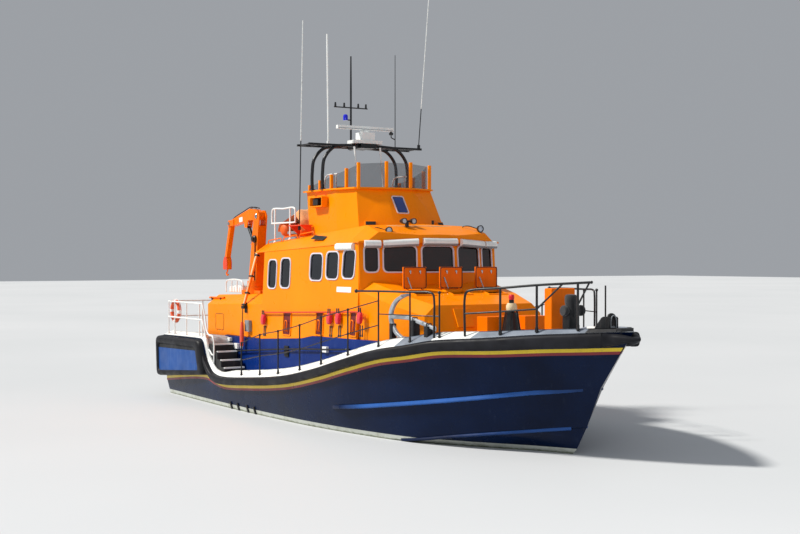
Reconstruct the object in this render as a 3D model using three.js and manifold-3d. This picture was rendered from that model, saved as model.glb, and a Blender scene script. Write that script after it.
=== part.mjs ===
// An all-weather lifeboat afloat: hull, deckhouse, flying bridge, mast, crane, rails and running gear.
// Millimetres. +X is the bow, +Y is port, z = 0 is the waterline, and the origin is amidships.
import * as THREE from 'three';
import { mergeVertices } from 'three/addons/utils/BufferGeometryUtils.js';
import Module from 'manifold-3d';

const wasm = await Module();
wasm.setup();

// Driving dimensions
const STERN = -8450;          // transom
const STEM_SHEER = 8480;      // the stem at deck level
const STEM_RAIL = 7560;       // the stem at the spray rail
const STEM_CHINE = 7150;      // the stem where the chines meet
const NOSE = 8650;            // front of the bow fender
const DRAUGHT = 1780;
const CAMBER = 60;
const GAP = 0.3;              // between pieces that touch
const CLEAR = 6;              // between pieces that move
const WALL = 60;              // deckhouse walls
const SHAFT_Y = 1250;
const SHAFT_Z = -1230;
const PROP_X = -6950;
const PROP_RADIUS = 470;
const PROP_BLADES = 5;
const RUDDER_X = -7800;
const SIDES = [[-1, 'stb'], [1, 'port']];

// The hull's long lines, from the transom to the stem
// columns: x, half breadth, height
const SHEER = [
  [STERN, 2690, 1700], [-5600, 2760, 1740], [-5430, 2765, 1700], [-5060, 2770, 1150],
  [-4600, 2775, 865], [-4200, 2790, 825], [-2360, 2820, 940], [-570, 2830, 1120],
  [1040, 2810, 1410], [2370, 2740, 1730], [3440, 2590, 1980], [4210, 2410, 2100],
  [5000, 2150, 2240], [6100, 1660, 2330], [7040, 1120, 2420], [7770, 620, 2470],
  [8200, 270, 2500], [STEM_SHEER, 0, 2510],
];
const RAIL_LINE = [
  [STERN, 2590, 420], [-4000, 2680, 330], [-500, 2660, 400], [1500, 2560, 560], [2300, 2440, 640],
  [3500, 2190, 790], [5300, 1560, 1040], [6500, 870, 1230], [7150, 400, 1310], [STEM_RAIL, 0, 1380],
];
const CHINE = [
  [STERN, 2430, -230], [-4000, 2540, -230], [-500, 2470, -170], [1500, 2290, -80], [3400, 1960, 30],
  [4900, 1450, 250], [6100, 780, 430], [6800, 300, 530], [STEM_CHINE, 0, 580],
];
const KEEL = [
  [STERN, 0, -620], [-4000, 0, -1000], [0, 0, -1180], [3000, 0, -1100], [4800, 0, -760],
  [6000, 0, -330], [6750, 0, 20], [STEM_CHINE, 0, 580],
];
// columns: x, height of the fender belt's face
const BELT_HEIGHT = [[-6000, 195, 0], [1000, 205, 0], [4200, 215, 0], [7000, 280, 0], [NOSE, 300, 0]];
const BELT_DEPTH = 115;

// Deckhouse
const HOUSE_AFT = -3500;
const HOUSE_HALF = 1970;
const TUMBLEHOME = 0.052;
const FLOOR_LINE = [[-5750, 1800], [-3500, 1810], [-1220, 1940], [-640, 2030], [1900, 2060], [3050, 2080]];
const KNUCKLE_Z = 4250;       // top of the walls at the front corner
const KNUCKLE_X = 1450;
const KNUCKLE_SLOPE = 0.038;
// columns: aft edge, front edge, sill and head of each side window
const SIDE_WINDOWS = [
  [-3190, -2730, 3140, 3850], [-2480, -1965, 3165, 3890], [-900, -285, 3375, 4000],
  [-85, 495, 3415, 4040], [700, 1290, 3440, 4075],
];
// The wheelhouse front in plan, starboard half: columns x, y
const FRONT_PLAN = [[1536, -1895], [1640, -1400], [1900, -520]];
const FRONT_LEAN = 0.07;
const FRONT_SILL = 3590;
const FRONT_HEAD = 4170;
// columns: facet, distances of the window's edges along the facet from its outer corner
const FRONT_WINDOWS = [[0, 130, 455], [1, 80, 850], [2, 90, 950]];

// Forward coachroof
const COACH_FRONT_TOP = 3700;
const COACH_FRONT_FOOT = 3960;
const COACH_FRONT_Z = 2380;
const COACH_SLOPE = -0.225;
const HATCH_HINGE_X = 2420;
const HATCH_HINGE_Z = 3200;
const HATCH_YS = { stb: -980, mid: 0, port: 980 };
const HATCH_WIDTH = 620;
const HATCH_LENGTH = 500;

// Crane
const CRANE_X = -5050;        // slewing axis
const CRANE_Y = -1350;
// Points in the crane's own plane, columns x, z
const POST_FOOT = [-5050, 3270];
const BOOM_HINGE = [-4800, 5040];
const JIB_HINGE = [-6640, 4880];
const JIB_TIP = [-6960, 3900];
const RAM_FOOT = [-5175, 4330];
const RAM_EYE = [-5560, 4800];

const COLOURS = {
  navy: 0x14305f, orange: 0xf58a12, white: 0xe8e8e4, black: 0x17181a, rubber: 0x24262a, blue: 0x1d3f78,
  glass: 0x1b2228, grey: 0x8f959b, steel: 0xb8bcc0, bronze: 0x9a7b3f, red: 0xa3342c, smoke: 0x4a4038,
  cream: 0xe0cfa6,
};

const boat = new THREE.Group();

function addMesh(name, geometry, colour, roughness = 0.45, metalness = 0) {
  const material = new THREE.MeshStandardMaterial({ color: COLOURS[colour], roughness, metalness });
  const mesh = new THREE.Mesh(geometry, material);
  mesh.name = name;
  boat.add(mesh);
  return mesh;
}

// Solids: joining and cutting
function toSolid(geometry) {
  const bare = geometry.clone();
  bare.deleteAttribute('normal');
  bare.deleteAttribute('uv');
  const merged = mergeVertices(bare, 1e-3);
  const index = merged.index.array;
  const kept = [];
  for (let i = 0; i < index.length; i += 3) {
    const [a, b, c] = [index[i], index[i + 1], index[i + 2]];
    if (a !== b && b !== c && a !== c) kept.push(a, b, c);
  }
  return new wasm.Manifold(new wasm.Mesh({
    numProp: 3,
    vertProperties: new Float32Array(merged.attributes.position.array),
    triVerts: new Uint32Array(kept),
  }));
}

function toGeometry(solid) {
  const mesh = solid.getMesh();
  const geometry = new THREE.BufferGeometry();
  geometry.setAttribute('position', new THREE.BufferAttribute(new Float32Array(mesh.vertProperties), 3));
  geometry.setIndex(new THREE.BufferAttribute(new Uint32Array(mesh.triVerts), 1));
  geometry.computeVertexNormals();
  return geometry;
}

const join = (geometries) => geometries.map(toSolid).reduce((sum, solid) => sum.add(solid));

// Plain shapes
function box(x0, x1, y0, y1, z0, z1) {
  const geometry = new THREE.BoxGeometry(x1 - x0, y1 - y0, z1 - z0);
  return geometry.translate((x0 + x1) / 2, (y0 + y1) / 2, (z0 + z1) / 2);
}

function outline(points) {
  return new THREE.Shape(points.map(([a, b]) => new THREE.Vector2(a, b)));
}

// A window's rounded outline with its corners given in order
function roundedPath(corners, radius) {
  const path = new THREE.Path();
  const at = corners.map(([a, b]) => new THREE.Vector2(a, b));
  at.forEach((corner, i) => {
    const before = at[(i + at.length - 1) % at.length].clone().sub(corner).setLength(radius).add(corner);
    const after = at[(i + 1) % at.length].clone().sub(corner).setLength(radius).add(corner);
    if (i === 0) path.moveTo(before.x, before.y);
    else path.lineTo(before.x, before.y);
    path.quadraticCurveTo(corner.x, corner.y, after.x, after.y);
  });
  path.closePath();
  return path;
}

const FLAT = { bevelEnabled: false, curveSegments: 3 };

// A shape drawn in X and Z, from y0 to y1
function acrossY(shape, y0, y1) {
  const geometry = new THREE.ExtrudeGeometry(shape, { ...FLAT, depth: y1 - y0 });
  return geometry.rotateX(Math.PI / 2).translate(0, y1, 0);
}

// A shape drawn in X and Y, from z0 to z1
function upZ(shape, z0, z1) {
  return new THREE.ExtrudeGeometry(shape, { ...FLAT, depth: z1 - z0 }).translate(0, 0, z0);
}

function rod(from, to, radius, sides = 8) {
  const a = new THREE.Vector3(...from);
  const b = new THREE.Vector3(...to);
  const geometry = new THREE.CylinderGeometry(radius, radius, a.distanceTo(b), sides);
  const turn = new THREE.Quaternion().setFromUnitVectors(
    new THREE.Vector3(0, 1, 0), b.clone().sub(a).normalize());
  return geometry.applyQuaternion(turn).translate(...a.add(b).multiplyScalar(0.5).toArray());
}

function bentTube(points, radius, steps, sides = 8) {
  const path = new THREE.CatmullRomCurve3(points.map((p) => new THREE.Vector3(...p)), false, 'centripetal');
  const ring = new THREE.Shape();
  for (let i = 0; i < sides; i += 1) {
    const angle = (i / sides) * 2 * Math.PI;
    const at = [radius * Math.cos(angle), radius * Math.sin(angle)];
    if (i === 0) ring.moveTo(...at);
    else ring.lineTo(...at);
  }
  ring.closePath();
  return new THREE.ExtrudeGeometry(ring, { bevelEnabled: false, steps, extrudePath: path });
}

// Joins closed rings of equal length into one body with flat ends
function loft(rings) {
  const count = rings[0].length;
  const at = rings.flat();
  const positions = at.flat();
  const index = [];
  for (let r = 0; r + 1 < rings.length; r += 1) {
    for (let i = 0; i < count; i += 1) {
      const j = (i + 1) % count;
      const [a, b, c, d] = [r * count + i, r * count + j, (r + 1) * count + j, (r + 1) * count + i];
      const span = (p, q) => Math.hypot(...at[p].map((value, k) => value - at[q][k]));
      if (span(a, c) < span(b, d) - 1e-6) index.push(a, b, c, a, c, d);
      else index.push(a, b, d, b, c, d);
    }
  }
  const geometry = new THREE.BufferGeometry();
  for (const [r, flip] of [[0, true], [rings.length - 1, false]]) {
    const flatRing = flattenRing(rings[r]);
    if (flatRing === null) continue;
    for (const corners of THREE.ShapeUtils.triangulateShape(flatRing, [])) {
      const face = corners.map((k) => r * count + k);
      index.push(...(flip ? face.reverse() : face));
    }
  }
  geometry.setAttribute('position', new THREE.Float32BufferAttribute(positions, 3));
  geometry.setIndex(index);
  return facingOut(geometry);
}

// A ring's points in its own plane, or null where the ring has shrunk to a line
function flattenRing(ring) {
  const at = ring.map((p) => new THREE.Vector3(...p));
  const normal = new THREE.Vector3();
  at.forEach((p, i) => {
    const q = at[(i + 1) % at.length];
    normal.add(new THREE.Vector3().crossVectors(p, q));
  });
  if (normal.length() < 1) return null;
  normal.normalize();
  const first = Math.abs(normal.z) > 0.9 ? new THREE.Vector3(1, 0, 0) : new THREE.Vector3(0, 0, 1);
  const u = new THREE.Vector3().crossVectors(first, normal).normalize();
  const v = new THREE.Vector3().crossVectors(normal, u);
  return at.map((p) => new THREE.Vector2(p.dot(u), p.dot(v)));
}

function volumeOf(geometry) {
  const p = geometry.attributes.position;
  const index = geometry.index.array;
  const [a, b, c] = [new THREE.Vector3(), new THREE.Vector3(), new THREE.Vector3()];
  let sum = 0;
  for (let i = 0; i < index.length; i += 3) {
    a.fromBufferAttribute(p, index[i]);
    b.fromBufferAttribute(p, index[i + 1]);
    c.fromBufferAttribute(p, index[i + 2]);
    sum += a.dot(b.clone().cross(c)) / 6;
  }
  return sum;
}

function facingOut(geometry) {
  if (volumeOf(geometry) < 0) {
    const index = geometry.index.array;
    for (let i = 0; i < index.length; i += 3) [index[i], index[i + 2]] = [index[i + 2], index[i]];
  }
  return geometry;
}

const mirrorY = (geometry) => {
  const flipped = geometry.clone().scale(1, -1, 1);
  const index = flipped.index;
  if (index) {
    for (let i = 0; i < index.count; i += 3) {
      const first = index.getX(i);
      index.setX(i, index.getX(i + 2));
      index.setX(i + 2, first);
    }
    return flipped;
  }
  const p = flipped.attributes.position;
  for (let i = 0; i < p.count; i += 3) {
    const first = [p.getX(i), p.getY(i), p.getZ(i)];
    p.setXYZ(i, p.getX(i + 2), p.getY(i + 2), p.getZ(i + 2));
    p.setXYZ(i + 2, ...first);
  }
  return flipped;
};

// A smooth line through a table's rows, with no overshoot, read at x
function along(rows, x, column) {
  const last = rows.length - 1;
  if (x <= rows[0][0]) return rows[0][column];
  if (x >= rows[last][0]) return rows[last][column];
  const k = rows.findIndex((row, i) => i < last && x <= rows[i + 1][0]);
  const grade = (i) => (rows[i + 1][column] - rows[i][column]) / (rows[i + 1][0] - rows[i][0]);
  const tangent = (i) => {
    if (i === 0 || i === last) return grade(Math.min(i, last - 1));
    const [before, after] = [grade(i - 1), grade(i)];
    return before * after <= 0 ? 0 : (2 * before * after) / (before + after);
  };
  const span = rows[k + 1][0] - rows[k][0];
  const t = (x - rows[k][0]) / span;
  const [t2, t3] = [t * t, t * t * t];
  return (2 * t3 - 3 * t2 + 1) * rows[k][column] + (t3 - 2 * t2 + t) * span * tangent(k)
    + (3 * t2 - 2 * t3) * rows[k + 1][column] + (t3 - t2) * span * tangent(k + 1);
}

const lineAt = (rows, x) => [x, along(rows, x, 1), along(rows, x, 2)];
const sheerAt = (x) => lineAt(SHEER, x);

// Hull
const CHINE_FLAT = 70;

function hullRing(s) {
  const place = (rows, stem) => lineAt(rows, STERN + s * (stem - STERN));
  const keel = place(KEEL, STEM_CHINE);
  const chine = place(CHINE, STEM_CHINE);
  const rail = place(RAIL_LINE, STEM_RAIL);
  const sheer = place(SHEER, STEM_SHEER);
  const inner = [chine[0], Math.max(0, chine[1] - CHINE_FLAT), chine[2] - 25 * Math.min(1, chine[1] / 300)];
  const crown = CAMBER * Math.min(1, sheer[1] / 2000);
  const deck = [sheer[0], sheer[1] * 0.5, sheer[2] + crown * 0.75];
  const half = [inner, chine, rail, sheer, deck];
  const port = half.map(([x, y, z]) => [x, y, z]);
  const starboard = half.map(([x, y, z]) => [x, -y, z]).reverse();
  return [[keel[0], 0, keel[2]], ...port, [sheer[0], 0, sheer[2] + crown], ...starboard];
}

function hullShape() {
  const marks = SHEER.flatMap(([x], i) => (i === 0 ? [x] : [(x + SHEER[i - 1][0]) / 2, x]));
  const rings = marks.map((x) => hullRing((x - STERN) / (STEM_SHEER - STERN)));
  return loft(rings);
}

const plainHull = toSolid(hullShape());

// The hull shifted by a hair, for cutting what rests against it
const shiftedHull = (x, y, z) => plainHull.translate([x, y, z]);
const hullCutter = shiftedHull(GAP, 0, GAP);
const sideCutter = shiftedHull(GAP, -GAP * 1.6, GAP);
const quarterSideCutter = shiftedHull(-GAP, -GAP * 1.6, 0);

function skeg(side) {
  const profile = outline([
    [-6300, -600], [-6300, -1500], [-6150, -DRAUGHT], [-3400, -DRAUGHT], [-1900, -900], [-1700, -600],
  ]);
  const plate = acrossY(profile, -80, 80);
  const tube = rod([-6640, 0, SHAFT_Z], [-6000, 0, SHAFT_Z], 95, 12);
  return join([plate, tube]).translate([0, side * SHAFT_Y, 0]);
}

addMesh('hull', toGeometry(plainHull.add(skeg(1)).add(skeg(-1))), 'navy', 0.3);

// Fender belt and toe rail, swept along the sheer
function outward(x) {
  const step = 20;
  const [, y0] = sheerAt(Math.max(STERN, x - step));
  const [, y1] = sheerAt(Math.min(STEM_SHEER, x + step));
  const normal = new THREE.Vector2(y0 - y1, 2 * step).normalize();
  return [normal.x, normal.y];
}

// section columns: distance outwards, height above the sheer
function sweepSheer(xs, sectionAt) {
  return loft(xs.map((x) => {
    const [, y, z] = sheerAt(x);
    const [nx, ny] = outward(x);
    return sectionAt(x).map(([out, up]) => [x + nx * out, -(y + ny * out), z + up]);
  }));
}

const BELT_FROM = -5180;
const BELT_TO = 8050;
const beltXs = [BELT_FROM, ...SHEER.map((row) => row[0]).filter((x) => x > BELT_FROM && x < BELT_TO), BELT_TO]
  .flatMap((x, i, all) => (i === 0 ? [x] : [(x + all[i - 1]) / 2, x]));
function beltSection(x) {
  const height = along(BELT_HEIGHT, x, 1);
  return [[-150, -6], [60, -6], [BELT_DEPTH, -35], [BELT_DEPTH, 30 - height], [60, -height], [-150, -height]];
}

// The quarter's frame of fenders, drawn in X and Z
const QUARTER_OUTER = [[-8650, 1690], [-8560, 500], [-5130, 780], [-5440, 1690], [-5620, 1728]];
const QUARTER_INNER = [[-8400, 1420], [-8360, 720], [-5600, 900], [-5790, 1450]];
const QUARTER_OUT = 2900;
function quarterFrame() {
  const shape = outline(QUARTER_OUTER);
  shape.holes.push(new THREE.Path(QUARTER_INNER.map(([a, b]) => new THREE.Vector2(a, b))));
  return toSolid(acrossY(shape, -QUARTER_OUT, -2560));
}
const quarterSolid = quarterFrame().subtract(quarterSideCutter).subtract(sideCutter);
const quarterCutter = quarterFrame().translate([GAP * 2, 0, 0]).add(quarterFrame());
const beltSolid = toSolid(sweepSheer(beltXs, beltSection)).subtract(sideCutter).subtract(quarterCutter);

function bowFender() {
  const [, y] = sheerAt(BELT_TO);
  const [nx, ny] = outward(BELT_TO);
  const start = [BELT_TO + nx * BELT_DEPTH + 1, y + ny * BELT_DEPTH];
  const foot = [BELT_TO + 1, y - 160];
  const half = [foot, start, [8420, 270], [NOSE - 30, 110], [NOSE, 40]];
  const plan = outline([...half, ...half.map(([a, b]) => [a, -b]).reverse()]);
  const cutters = [
    sideCutter, shiftedHull(GAP, GAP * 1.6, GAP), shiftedHull(GAP * 2, 0, 0), shiftedHull(GAP, 0, -GAP),
  ];
  return cutters.reduce((fender, cutter) => fender.subtract(cutter), toSolid(upZ(plan, 2185, 2482)));
}

// Sloped white board along the deck's edge. columns: x, width, height
const TOE_BOARD = [
  [STERN, 290, 110], [-5700, 290, 110], [-5450, 112, 100], [-4150, 112, 110], [-3700, 290, 170],
  [1000, 290, 190], [4000, 290, 180], [5200, 270, 150], [7000, 180, 100], [8250, 85, 78],
];
const TOE_LIP = 18;
const TOE_FLAT = 40;
function toeSection(x) {
  const [width, height] = [along(TOE_BOARD, x, 1), along(TOE_BOARD, x, 2)];
  return [[-14, -22], [-14, TOE_LIP], [TOE_FLAT - width, height], [-width, height], [-width, -22]];
}
const TOE_TO = 8250;
const toeXs = [...SHEER, ...TOE_BOARD].map((row) => row[0]).filter((x) => x < TOE_TO).sort((a, b) => a - b)
  .filter((x, i, all) => i === 0 || x - all[i - 1] > 60)
  .flatMap((x, i, all) => (i === 0 ? [x + 10] : [(x + all[i - 1]) / 2, x])).concat([TOE_TO]);
const toeSolid = toSolid(sweepSheer(toeXs, toeSection)).subtract(sideCutter);

for (const [side, name] of SIDES) {
  const turn = (solid) => (side < 0 ? toGeometry(solid) : mirrorY(toGeometry(solid)));
  addMesh(`fender_belt_${name}`, turn(beltSolid), 'rubber', 0.8);
  addMesh(`fender_quarter_${name}`, turn(quarterSolid), 'rubber', 0.8);
}
const stemCap = toSolid(box(8180, 8330, -210, 210, 2483, 2575)).subtract(hullCutter);
const toeRail = toSolid(mirrorY(toGeometry(toeSolid))).add(toeSolid).add(stemCap);
const toeCutter = [[0, 0, GAP], [0, GAP, 0], [0, -GAP, 0]].reduce(
  (sum, shift) => sum.add(toeRail.translate(shift)), toeRail);
addMesh('toe_rail', toGeometry(toeRail), 'white', 0.4);
addMesh('fender_bow', toGeometry(bowFender()), 'rubber', 0.8);

function transomFender() {
  const half = 2555;
  const [aft, fore] = [STERN - 200, STERN + 30];
  const frame = [box(aft, fore, -half, half, 1440, 1690), box(aft, fore, -half, half, 500, 720)];
  for (const y of [-half + 110, 0, half - 110]) frame.push(box(aft + 30, fore, y - 110, y + 110, 600, 1600));
  return join(frame).subtract(shiftedHull(-GAP, 0, 0));
}
addMesh('fender_transom', toGeometry(transomFender()), 'rubber', 0.8);

// Steps from the waist up to the quarterdeck: columns x of the riser, height of the tread
const STEPS = [[-5280, 1610], [-5030, 1430], [-4780, 1220], [-4530, 1030]];
function steps() {
  const blocks = STEPS.map(([x, z], i) => {
    const ahead = i + 1 < STEPS.length ? STEPS[i + 1][0] + 40 : x + 250;
    return box(x, ahead, -2640, -2060, 700, z);
  });
  return join(blocks).subtract(hullCutter);
}
addMesh('steps_stb', toGeometry(steps()), 'black', 0.7);
addMesh('steps_port', mirrorY(toGeometry(steps())), 'black', 0.7);

// Lower trunk, which carries the deckhouse
function trunkBlock(grow) {
  const top = FLOOR_LINE.map(([x, z]) => [x, z + grow]).reverse();
  const shape = outline([[-5750 - grow, 400], [3050 + grow, 400], [3050 + grow, 2080 + grow], ...top,
    [-5750 - grow, 1800 + grow]]);
  return toSolid(acrossY(shape, -HOUSE_HALF - grow, HOUSE_HALF + grow));
}
addMesh('trunk', toGeometry(trunkBlock(0).subtract(hullCutter)), 'blue', 0.35);
const trunkCutter = trunkBlock(GAP);

// Aft casing: columns half breadth, height
const CASING_AFT = -7100;
const CASING_TOP = 2980;
function casing() {
  const half = [[-1900, 1500], [-1900, 2720], [-1560, CASING_TOP]];
  const section = [...half, ...half.map(([y, z]) => [-y, z]).reverse()];
  const ring = (x, drop) => section.map(([y, z]) => [x, y, z > 2000 ? z - drop : z]);
  const body = loft([ring(CASING_AFT, 110), ring(HOUSE_AFT - GAP, 0)]);
  return toSolid(body).subtract(hullCutter).subtract(trunkCutter);
}
addMesh('aft_casing', toGeometry(casing()), 'orange', 0.4);

// Wheelhouse: side walls with their windows, leaning in above the floor
const knuckleAt = (x) => KNUCKLE_Z + (x - KNUCKLE_X) * KNUCKLE_SLOPE;
const WALL_FRONT = 1470;
const FRONT_FOOT = 3150;
const LEAN_FROM = 1800;

function leanIn(geometry) {
  const p = geometry.attributes.position;
  for (let i = 0; i < p.count; i += 1) p.setY(i, p.getY(i) + (p.getZ(i) - LEAN_FROM) * TUMBLEHOME);
  return geometry;
}

const frontEdge = (x, z) => x - FRONT_LEAN * Math.max(0, z - FRONT_FOOT);

function sideWall() {
  const floor = FLOOR_LINE.slice(1, 4).map(([x, z]) => [x, z + GAP]);
  const shape = outline([
    ...floor, [WALL_FRONT, 2055 + GAP * 2], [WALL_FRONT, FRONT_FOOT],
    [frontEdge(WALL_FRONT, KNUCKLE_Z), knuckleAt(1400)], [HOUSE_AFT, knuckleAt(HOUSE_AFT)],
  ]);
  for (const [aft, fore, sill, head] of SIDE_WINDOWS) {
    const rake = aft > 0 ? 60 : 0;
    const corners = [[aft, sill], [fore, sill], [fore - rake, head], [aft + rake * 0.4, head]];
    shape.holes.push(roundedPath(corners, 110));
  }
  return leanIn(acrossY(shape, -HOUSE_HALF, -HOUSE_HALF + WALL));
}

function sideGlass() {
  const inset = -HOUSE_HALF + WALL + GAP;
  const shape = outline([[-3330, 3060], [1400, 3360], [1360, 4130], [-3330, 3960]]);
  return leanIn(acrossY(shape, inset, inset + 12));
}

// Front wall of five facets, with its windows
const FRONT_OUTER = [...FRONT_PLAN, ...FRONT_PLAN.map(([x, y]) => [x, -y]).reverse()];
const FRONT_TOP = KNUCKLE_Z - GAP;

function leanBack(geometry) {
  const p = geometry.attributes.position;
  for (let i = 0; i < p.count; i += 1) p.setX(i, frontEdge(p.getX(i), p.getZ(i)));
  return geometry;
}

function facetBand(outer, inner, z0, z1, half = 9999) {
  const shift = (distance) => FRONT_OUTER.map(([x, y]) => [x - distance, y * (1 - distance / 4200)])
    .map(([x, y]) => (Math.abs(y) < half ? [x, y] : [x + (Math.abs(y) - half) * 0.21, Math.sign(y) * half]));
  return upZ(outline([...shift(outer), ...shift(inner).reverse()]), z0, z1);
}

function facetFrame(k) {
  const [a, b] = [FRONT_OUTER[k], FRONT_OUTER[k + 1]].map(([x, y]) => new THREE.Vector2(x, y));
  const run = b.clone().sub(a);
  return { from: a, angle: Math.atan2(run.y, run.x) };
}

function windowHole(k, start, end) {
  const { from, angle } = facetFrame(k);
  const corners = [[start, FRONT_SILL], [end, FRONT_SILL], [end, FRONT_HEAD], [start, FRONT_HEAD]];
  const shape = new THREE.Shape(roundedPath(corners, 90).getPoints(3));
  const cutter = acrossY(shape, -200, 200);
  return cutter.rotateZ(angle).translate(from.x, from.y, 0);
}

function frontWall() {
  let wall = toSolid(leanBack(facetBand(0, WALL, FRONT_FOOT, FRONT_TOP)));
  for (const [k, start, end] of FRONT_WINDOWS) {
    wall = wall.subtract(toSolid(windowHole(k, start, end)));
    if (k < 2) wall = wall.subtract(toSolid(mirrorY(windowHole(k, start, end))));
  }
  return wall.subtract(coachCutter);
}

// Forward coachroof, hollow under its sloping top
const COACH_TOP_Z = HATCH_HINGE_Z - 25;
const coachTop = (x) => COACH_TOP_Z + (x - HATCH_HINGE_X) * COACH_SLOPE;
const COACH_AFT = WALL_FRONT + GAP;
const COACH_SKIN = 50;
const COAMING = 22;

function coachBody(inset, foot, grow = 0) {
  const top = (x) => coachTop(x) - inset + grow;
  const ring = (x, half, topHalf, z) => [
    [x, -half, foot], [x, -half, z - 230], [x, -topHalf, z],
    [x, topHalf, z], [x, half, z - 230], [x, half, foot],
  ];
  const aft = COACH_AFT + inset;
  const fore = COACH_FRONT_TOP - inset;
  const body = loft([
    ring(aft, 1880 - inset + grow, 1620 - inset, top(aft)),
    ring(2800, 1800 - inset + grow, 1520 - inset, top(2800)),
    ring(fore, 1560 - inset + grow, 1300 - inset, top(fore)),
    ring(fore + 40, 1500 - inset + grow, 1240 - inset, top(fore) - 70),
    ring(COACH_FRONT_FOOT - inset, 1380 - inset, 1150 - inset, COACH_FRONT_Z - inset),
  ]);
  return toSolid(body);
}

const hatchSpan = (y, margin) => [y - HATCH_WIDTH / 2 + margin, y + HATCH_WIDTH / 2 - margin];

function slopedBlock(x0, x1, y0, y1, low, high) {
  const shape = outline([
    [x0, coachTop(x0) + low], [x1, coachTop(x1) + low], [x1, coachTop(x1) + high], [x0, coachTop(x0) + high],
  ]);
  return toSolid(acrossY(shape, y0, y1));
}

function coachroof() {
  let shell = coachBody(0, 1500).subtract(coachBody(COACH_SKIN, 1400));
  shell = shell.subtract(hullCutter).subtract(trunkCutter);
  for (const y of Object.values(HATCH_YS)) {
    const [a, b] = hatchSpan(y, 35);
    const [c, d] = hatchSpan(y, 75);
    const front = HATCH_HINGE_X + HATCH_LENGTH;
    shell = shell.add(slopedBlock(HATCH_HINGE_X + 30, front - 20, a, b, -10, COAMING));
    shell = shell.subtract(slopedBlock(HATCH_HINGE_X + 70, front - 60, c, d, -300, 200));
  }
  return shell;
}

const coachCutter = coachBody(0, 1500, GAP * 1.5);
const coachSolid = coachroof();
addMesh('coachroof', toGeometry(coachSolid), 'orange', 0.4);

addMesh('wall_stb', sideWall(), 'orange', 0.4);
addMesh('wall_port', mirrorY(sideWall()), 'orange', 0.4);
addMesh('glass_stb', sideGlass(), 'glass', 0.1);
addMesh('glass_port', mirrorY(sideGlass()), 'glass', 0.1);
addMesh('wall_front', toGeometry(frontWall()), 'orange', 0.4);
addMesh('glass_front', leanBack(facetBand(WALL + 1, WALL + 14, 3480, 4235, 1770)), 'glass', 0.1);

function aftWall() {
  const z1 = knuckleAt(HOUSE_AFT) - 1;
  const half = (z) => HOUSE_HALF - WALL - GAP - (z - LEAN_FROM) * TUMBLEHOME;
  const [low, high] = [half(1822), half(z1)];
  const ring = (x) => [[x, -low, 1822], [x, low, 1822], [x, high, z1], [x, -high, z1]];
  const door = box(HOUSE_AFT - 50, HOUSE_AFT + 200, 260, 860, 3050, 3960);
  return toSolid(loft([ring(HOUSE_AFT), ring(HOUSE_AFT + WALL)])).subtract(toSolid(door));
}
addMesh('wall_aft', toGeometry(aftWall()), 'orange', 0.4);

// Roof: a bent shell on the walls, with a solid brow over the front windows
const ROOF_AFT = -4100;
const ROOF_HALF = 1860;
const BROW_AFT = 1150;
const BROW_OUT = 110;
const roofEdge = (x) => 4660 + (Math.min(x, 830) - 830) * 0.075;

function roofRing(x, knuckle, edge, thick) {
  const half = ROOF_HALF;
  return [
    [x, -half, knuckle], [x, -1480, edge], [x, 0, edge + 45], [x, 1480, edge], [x, half, knuckle],
    [x, half - 70, knuckle], [x, 1440, edge - thick], [x, 0, edge + 45 - thick], [x, -1440, edge - thick],
    [x, -half + 70, knuckle],
  ];
}

function crownRing(x, knuckle, edge, top) {
  const half = ROOF_HALF + 90;
  return [[x, -half, 3900], [x, -half, knuckle], [x, -1480, edge], [x, 0, top], [x, 1480, edge],
    [x, half, knuckle], [x, half, 3900]];
}

function roof() {
  const marks = [ROOF_AFT, HOUSE_AFT, BROW_AFT + 5];
  const shell = toSolid(loft(marks.map((x) => roofRing(x, knuckleAt(x) + GAP, roofEdge(x), WALL))));
  const plan = FRONT_OUTER.map(([x, y]) => [frontEdge(x, FRONT_TOP) + BROW_OUT, y * 1.03]);
  const slabPlan = outline([[BROW_AFT, -ROOF_HALF], ...plan, [BROW_AFT, ROOF_HALF]]);
  const slab = toSolid(upZ(slabPlan, KNUCKLE_Z + GAP, 4900));
  const crown = toSolid(loft([
    crownRing(BROW_AFT, knuckleAt(BROW_AFT) + 30, roofEdge(900), roofEdge(900) + 45),
    crownRing(2100, KNUCKLE_Z + 60, 4350, 4390),
  ]));
  return shell.add(slab.intersect(crown));
}
addMesh('roof', toGeometry(roof()), 'orange', 0.4);

// What stands on the roof is cut by its outer form, filled below
function roofMass() {
  const ring = (x) => {
    const [knuckle, edge] = [knuckleAt(x) + GAP * 2, roofEdge(x) + GAP];
    return [[x, -ROOF_HALF, 3900], [x, -ROOF_HALF, knuckle], [x, -1480, edge], [x, 0, edge + 45],
      [x, 1480, edge], [x, ROOF_HALF, knuckle], [x, ROOF_HALF, 3900]];
  };
  return toSolid(loft([ring(ROOF_AFT), ring(HOUSE_AFT), ring(BROW_AFT + 5)]));
}
const roofCutter = roof().translate([0, 0, GAP]).add(roofMass());

// Flying bridge: a tapered tub
// columns: x and half breadth at the foot, x and half breadth at the rim
const TUB = [
  [-2300, 1160, -2450, 1160], [-560, 1330, -850, 1205], [350, 1230, -110, 1050], [760, 460, 120, 370],
];
const TUB_FOOT = 4500;
const TUB_RIM = 5610;
const TUB_FLOOR = 4820;
const TUB_WALL = 60;

function tubRing(z, inset) {
  const t = (z - TUB_FOOT) / (TUB_RIM - TUB_FOOT);
  const half = TUB.map(([x0, y0, x1, y1], i) => {
    const x = x0 + (x1 - x0) * t;
    const y = y0 + (y1 - y0) * t;
    return [x + (i === 0 ? inset : i === 3 ? -inset : -inset * 0.35), -(y - inset), z];
  });
  return [...half, ...half.map(([x, y, h]) => [x, -y, h]).reverse()];
}

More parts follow.
